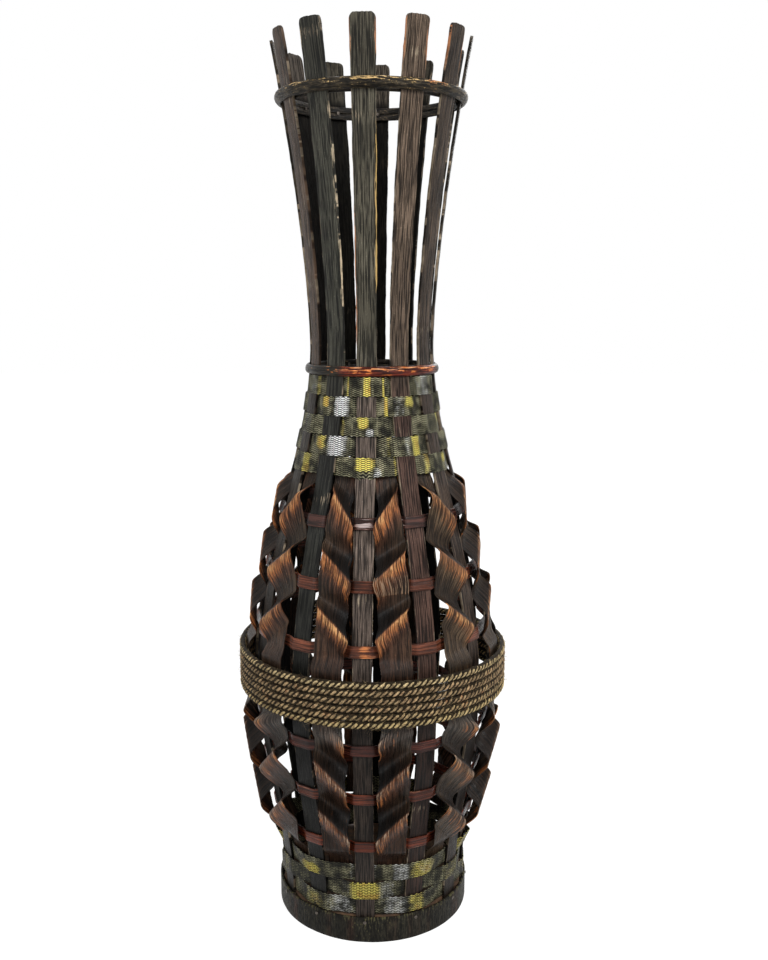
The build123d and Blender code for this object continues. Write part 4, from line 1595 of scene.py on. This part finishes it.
    def build(self) -> int:
        """Make and dress the hoops.

        Returns:
            How many pieces there are.
        """
        rim = BambooFinish(
            "rim_cane", lines=1100, stretch=10, along_u=True, contrast=0.66, streaks=0.2, depth=0.4 * MM,
            worn_size=0.9 * MM, worn_stretch=2.5,
        ).material()
        neck = BambooFinish(
            "neck_cane", lines=1000, stretch=16, along_u=True, contrast=0.6, roughness=0.36, coat=0.06,
            worn_size=1.4 * MM, worn_stretch=6,
        ).material()
        skin = self._outer("rim_hoop_outer", self.rim_middle, self.rim_height, self.rim_depth, self.rim_seam)
        self._dress("rim_cane_outer", "rim_hoop_outer", skin, self._rim_marks(), rim)
        heights = (self.neck_middle, self.neck_height, self.neck_depth)
        skin = self._outer("neck_hoop_outer", *heights, self.neck_seam)
        self._dress("neck_cane_outer", "neck_hoop_outer", skin, self._neck_marks(), neck)
        self._inner("rim", self.rim_middle, self.rim_inner_height, rim)
        self._inner("neck", self.neck_middle, self.neck_height, neck)
        return 6


@dataclass
class Rope:
    """Six turns of one three-ply rope round a dark core, a painted shade in its grooves, with loose fibres
    standing off it.
    """

    diameter: float = 5.7 * MM
    pitch: float = 6.15 * MM
    turns: int = 6
    lay: float = 13.6 * MM
    plies: int = 3
    yarns: int = 3
    yarn_lays: float = 2.3
    wander: float = 0.45
    rings_per_lay: int = 15
    sides: int = 12
    core: float = 2.4 * MM
    core_stretch: float = 1.27
    # Crown value of the core, which makes it near black, a painted shade
    core_shade: float = 0.3
    core_sides: int = 8
    core_rings: int = 160
    hairs: int = 2400
    hair_seed: int = 2024
    hair_root_share: float = 0.46
    hair_joints: int = 4
    hair_length: tuple[float, float] = (2.0, 6.5)
    hair_thickness: tuple[float, float] = (0.05, 0.09)

    def _radius(self, splints: Splints) -> float:
        """Distance of the rope's middle line from the axis."""
        reach = WALL.belly_radius + (splints.upper_crest + splints.lower_crest) / 4
        return math.hypot(reach, splints.width / 2) + WALL.clearance + self.diameter / 2

    def _line(self, run: np.ndarray, radius: float) -> np.ndarray:
        """Points of the middle line.

        Args:
            run: Turns from the start, at the rear.
            radius: Distance of the line from the axis.

        Returns:
            Points along the line, half turn by half turn at a steady tilt.
        """
        half = np.clip(np.floor(run * 2), 0, 2 * self.turns - 1)
        angle = (run * 2 - half) * math.pi
        side = np.where(half % 2 == 0, 1.0, -1.0)
        rise = (half / 2 - self.turns / 2) * self.pitch + self.pitch / 4 * (1 - np.cos(angle))
        middle = WEAVE.rows()[WEAVE.rope_row]
        x, y = side * radius * np.sin(angle), side * radius * np.cos(angle)
        return np.stack([x, y, middle + rise], axis=-1)

    def _ply(self, number: int, radius: float) -> Skin:
        """Skin of one ply, an unbroken coil round the rope's middle line.

        Args:
            number: Number of the ply, from 0.
            radius: Distance of the rope's middle line from the axis.

        Returns:
            The skin, open at both ends.
        """
        length = self.turns * TURN * radius
        count = int(length / self.lay * self.rings_per_lay)
        run = np.linspace(0, self.turns, count)
        line = self._line(run, radius)
        along = unit(np.gradient(line, axis=0))
        outward = square_to(away_from_axis(line), along)
        upward = np.cross(along, outward)
        place = run / self.turns * length
        phase = -TURN * place / self.lay + number * TURN / self.plies
        phase = phase + self.wander * uneven(place, 0.08, 11)
        away = 1 / math.sin(math.pi / self.plies)
        ply = self.diameter / 2 / (1 + away)
        centre = line + ply * away * (np.cos(phase)[:, None] * outward + np.sin(phase)[:, None] * upward)
        tangent = unit(np.gradient(centre, axis=0))
        first = square_to(outward, tangent)
        second = np.cross(tangent, first)
        angle = np.linspace(0, TURN, self.sides + 1)[None, :]
        yarns = np.cos(self.yarns * (angle + TURN * place[:, None] / (self.yarn_lays * self.lay)))
        girth = ply * (0.9 + 0.09 * yarns + 0.13 * uneven(place, 0.03, 17 + number)[:, None])
        girth = np.minimum(girth, ply)
        around = np.cos(angle)[..., None] * first[:, None] + np.sin(angle)[..., None] * second[:, None]
        points = met(centre[:, None] + girth[..., None] * around)
        axis_gap = points - line[:, None]
        # Crown mark for the painted light on the crowns and the painted shade in the grooves
        crown = np.linalg.norm(axis_gap, axis=2) / (self.diameter / 2)
        # Painted light: the lowest and highest turns of the rope are lighter, lit more than the middle turns
        risen = (run / self.turns)[:, None]
        lower = toward(tint(206, 180, 124), tint(168, 134, 100), ease(risen * 2.6))
        stain_and_shade = toward(lower, tint(220, 194, 144), ease((risen - 0.72) / 0.2))
        stain_and_shade = stain_and_shade * (1 + 0.4 * uneven(place, 0.035, 23 + number)[:, None, None])
        uv = spread_flat(angle * ply, place[:, None])
        uv[..., 0] += uv[..., 1] * 0.55
        return Skin(points, uv, {"dye": stain_and_shade, "crown": np.clip((crown - 0.35) / 0.65, 0, 1)})

    def _core(self, radius: float) -> Skin:
        """Skin of the dark core, a painted shade that closes the grooves between the plies."""
        length = self.turns * TURN * radius
        run = np.linspace(0, self.turns, self.turns * self.core_rings + 1)
        line = self._line(run, radius)
        outward = away_from_axis(line)
        angle = np.linspace(0, TURN, self.core_sides + 1)[None, :]
        upright = np.array([0.0, 0.0, 1.0])
        around = np.cos(angle)[..., None] * outward[:, None] - np.sin(angle)[..., None] * upright
        points = met(line[:, None] + np.array([1.0, 1.0, self.core_stretch]) * self.core * around)
        uv = spread_flat(angle * self.core, length / self.turns * run[:, None])
        return Skin(points, uv, {"dye": tint(120, 94, 66), "crown": np.array([[self.core_shade]])})

    def _hairs(self, radius: float) -> bpy.types.Object:
        """Loose fibres, each a thin, bent, three-sided spine."""
        draw = np.random.default_rng(self.hair_seed)
        vertices, faces = [], []
        joints = self.hair_joints
        for _ in range(self.hairs):
            run = draw.uniform(0.02, self.turns - 0.02)
            line = self._line(np.array([run, run + 0.001]), radius)
            along = unit(line[1] - line[0])
            outward = away_from_axis(line[0])
            upward = np.cross(along, outward)
            angle = draw.uniform(-1.5, 1.5)
            away = math.cos(angle) * outward + math.sin(angle) * upward
            spot = line[0] + away * self.diameter * self.hair_root_share
            lean = away * draw.uniform(0.1, 0.8) + along * draw.uniform(-1, 1)
            lean = unit(lean + upward * draw.normal(0, 0.35))
            curl = draw.normal(0, 0.5, 3)
            length = draw.uniform(*self.hair_length) * MM
            thick = draw.uniform(*self.hair_thickness) * MM
            start = len(vertices)
            for joint in range(joints):
                share = joint / (joints - 1)
                middle = spot + length * share * (lean + curl * share * 0.5)
                for corner in range(3):
                    turn = TURN * corner / 3
                    spread = math.cos(turn) * upward + math.sin(turn) * away
                    vertices.append(middle + spread * thick * (1 - 0.75 * share))
            for joint in range(joints - 1):
                for corner in range(3):
                    low = start + joint * 3
                    after = (corner + 1) % 3
                    faces.append((low + corner, low + after, low + 3 + after, low + 3 + corner))
            faces.append((start + 2, start + 1, start))
            faces.append(tuple(start + (joints - 1) * 3 + corner for corner in range(3)))
        mesh = bpy.data.meshes.new("rope_fuzz")
        mesh.from_pydata([tuple(vertex) for vertex in vertices], [], faces)
        piece = bpy.data.objects.new("rope_fuzz", mesh)
        bpy.context.scene.collection.objects.link(piece)
        return piece

    def build(self, splints: Splints) -> int:
        """Make and dress the rope.

        Args:
            splints: The curled splints that it lies on.

        Returns:
            How many pieces there are.
        """
        radius = self._radius(splints)
        material = RopeFinish().material()
        skins = {f"rope_ply_{number + 1}": self._ply(number, radius) for number in range(self.plies)}
        # The core, a dark painted shade in the grooves
        skins["rope_core"] = self._core(radius)
        for name, skin in skins.items():
            piece = Workbench.make(name, skin, (material,), capped=True, angle=80)
            Workbench.hand_over(piece, "rope", "rope_binding")
        fuzz = self._hairs(radius)
        fibre = PlainFinish("loose_fibre", dye(176, 152, 110), dye(84, 66, 44), 300)
        fuzz.data.materials.append(fibre.material())
        Workbench.hand_over(fuzz, "rope", "rope_binding")
        return len(skins) + 1


@dataclass
class Base:
    """The band round the feet of the slats, the board between them, and the nails."""

    thickness: float = 2.0 * MM
    lap_azimuth: float = -40.0
    lap_step: float = 0.35 * MM
    edge_round: float = 0.35 * MM
    face_depth: float = 0.3 * MM
    places: int = 361
    rows: int = 9

    def _band(self) -> None:
        """Make the band, thinned under the lap of its ends."""
        inside = math.hypot(WALL.foot_radius, WALL.slat_width / 2) + WALL.clearance
        azimuth, height = np.meshgrid(
            np.linspace(0, 360, self.places), np.linspace(0, WALL.foot_height, self.rows)
        )
        upper = (height / WALL.foot_height) ** 4
        away = turned_from(azimuth, self.lap_azimuth)
        lap = -self.lap_step * (np.tanh(away / 0.8) * 0.5 + 0.5) * hump(away, 0, 30)
        radius = inside + self.thickness - 0.12 * MM * (1 + uneven(azimuth, 70, 3)) + lap
        drop = upper * 0.3 * MM * (1 + uneven(azimuth, 33, 4))
        points = met(plan(azimuth, radius, 0.0, height - drop))
        stain_and_shade = toward(tint(34, 32, 26), tint(46, 33, 26), ease(uneven(azimuth, 40, 15) - 0.1))
        wear_and_sheen = 0.34 * (height / WALL.foot_height) ** 5 + 0.12 * ease(uneven(azimuth, 60, 12))
        marks = {"dye": stain_and_shade, "wood_and_sheen": tint(84, 80, 55), "wear_and_sheen": wear_and_sheen}
        skin = Skin(points, spread_flat(inside * np.radians(azimuth), height), marks)
        finish = BambooFinish(
            "base_stain", lines=800, stretch=6, contrast=0.5, roughness=0.55, specular=0.12,
            worn_size=1.5 * MM, worn_stretch=1.5,
        )
        piece = Workbench.make(
            "base_band_strip", skin, (finish.material(),), depth=self.thickness - self.face_depth,
            round_off=self.edge_round,
        )
        Workbench.hand_over(piece, "band", "base_band")

    def build(self) -> int:
        """Make the band and dress the nodes that stay.

        Returns:
            How many pieces there are.
        """
        self._band()
        board = PlainFinish("board_wood", dye(112, 84, 60), dye(60, 44, 32), 120, roughness=0.7).material()
        nail = PlainFinish(
            "nail_steel", dye(120, 112, 104), dye(52, 46, 42), 900, metallic=0.9, roughness=0.45,
        ).material()
        kept = {"base_board": board, "rim_nails": nail, "neck_nails": nail, "base_nails": nail}
        for name, material in kept.items():
            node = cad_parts[name]
            node.data.materials.clear()
            node.data.materials.append(material)
        return 1 + len(kept)


@dataclass
class Studio:
    """Camera, floor and lamps."""

    camera_place: tuple[float, float, float] = (0.0096, -0.8348, 0.5083)
    camera_pitch: float = 79.96
    lens: float = 39.14
    sensor: float = 36.0
    floor_size: float = 12.0
    ambient: float = 0.34
    floor_tone: Colour = (0.45, 0.45, 0.44)
    floor_lift: float = 1.84
    floor_roughness: float = 0.9
    floor_specular: float = 0.1
    aim: tuple[float, float, float] = (0.0, 0.0, 0.4)
    # Place, size in metres and power in watts of each lamp
    lamps: dict[str, tuple[tuple[float, float, float], float, float]] = field(
        default_factory=lambda: {
            "key_lamp": ((1.0, -1.3, 1.7), 0.7, 29), "fill_lamp": ((-1.3, -1.2, 1.1), 1.2, 10),
            "rear_lamp": ((0.3, 1.6, 1.3), 1.2, 14),
        }
    )

    @staticmethod
    def _seen(nodes: Nodes) -> Socket:
        """1 for rays from the camera, in gloss or through glass, which see plain white."""
        rays = nodes.add("ShaderNodeLightPath").outputs
        through = nodes.sum_of("MAXIMUM", rays["Is Glossy Ray"], rays["Is Transmission Ray"])
        return nodes.sum_of("MAXIMUM", rays["Is Camera Ray"], through)

    def _camera(self) -> None:
        """Stand the camera where the vase was seen from."""
        turned = (math.radians(self.camera_pitch), 0, 0)
        bpy.ops.object.camera_add(location=self.camera_place, rotation=turned)
        camera = bpy.context.object
        camera.data.lens = self.lens
        camera.data.sensor_width = self.sensor
        bpy.context.scene.camera = camera

    def _floor(self) -> None:
        """Lay a pale floor that keeps the vase's shadow."""
        bpy.ops.object.select_all(action="DESELECT")
        bpy.ops.mesh.primitive_plane_add(size=self.floor_size)
        floor = bpy.context.object
        floor.name = "floor"
        made = bpy.data.materials.new("floor_pale")
        made.use_nodes = True
        nodes = Nodes(made.node_tree)
        surface = made.node_tree.nodes["Principled BSDF"]
        surface.inputs["Base Color"].default_value = (*self.floor_tone, 1)
        surface.inputs["Roughness"].default_value = self.floor_roughness
        surface.inputs["Specular IOR Level"].default_value = self.floor_specular
        output = made.node_tree.nodes["Material Output"]
        lift = nodes.add("ShaderNodeEmission", {"Color": (1.0, 1.0, 1.0), "Strength": self.floor_lift})
        both = nodes.sum_of("MULTIPLY", self._seen(nodes), 0.5)
        blend = nodes.add("ShaderNodeMixShader", {0: both, 1: surface.outputs[0], 2: lift.outputs[0]})
        made.node_tree.links.new(blend.outputs[0], output.inputs["Surface"])
        floor.data.materials.append(made)

    def _world(self) -> None:
        """Surround the scene with soft light that shows white to the camera."""
        world = bpy.data.worlds.new("studio")
        bpy.context.scene.world = world
        world.use_nodes = True
        nodes = Nodes(world.node_tree)
        background = world.node_tree.nodes["Background"]
        strength = nodes.between(self._seen(nodes), 0, 1, self.ambient, 1.0)
        world.node_tree.links.new(strength, background.inputs["Strength"])
        background.inputs["Color"].default_value = (1, 1, 1, 1)

    def _lamp(self, name: str, place: tuple[float, float, float], size: float, power: float) -> None:
        """Hang a soft lamp that faces the middle of the vase."""
        bpy.ops.object.light_add(type="AREA", location=place)
        lamp = bpy.context.object
        lamp.name = name
        lamp.data.size = size
        lamp.data.energy = power
        aim = np.array(self.aim) - np.array(place)
        tilt = math.atan2(math.hypot(aim[0], aim[1]), -aim[2])
        lamp.rotation_euler = (tilt, 0, math.atan2(aim[1], aim[0]) - math.pi / 2)

    def build(self) -> None:
        """Set up the whole studio."""
        bpy.context.scene.view_settings.view_transform = "Standard"
        self._camera()
        self._floor()
        self._world()
        for name, (place, size, power) in self.lamps.items():
            self._lamp(name, place, size, power)


def main() -> None:
    """Build the studio and the vase, piece by piece."""
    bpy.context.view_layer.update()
    Studio().build()
    splints = Splints()
    log.info("slats: %d", Slats().build())
    log.info("splints: %d", splints.build())
    log.info("weavers: %d", Weavers().build(splints))
    log.info("ribbons: %d", Ribbons().build(splints))
    log.info("hoops: %d", Hoops().build())
    log.info("rope: %d", Rope().build(splints))
    log.info("base: %d", Base().build())


if __name__ == "__main__":
    main()
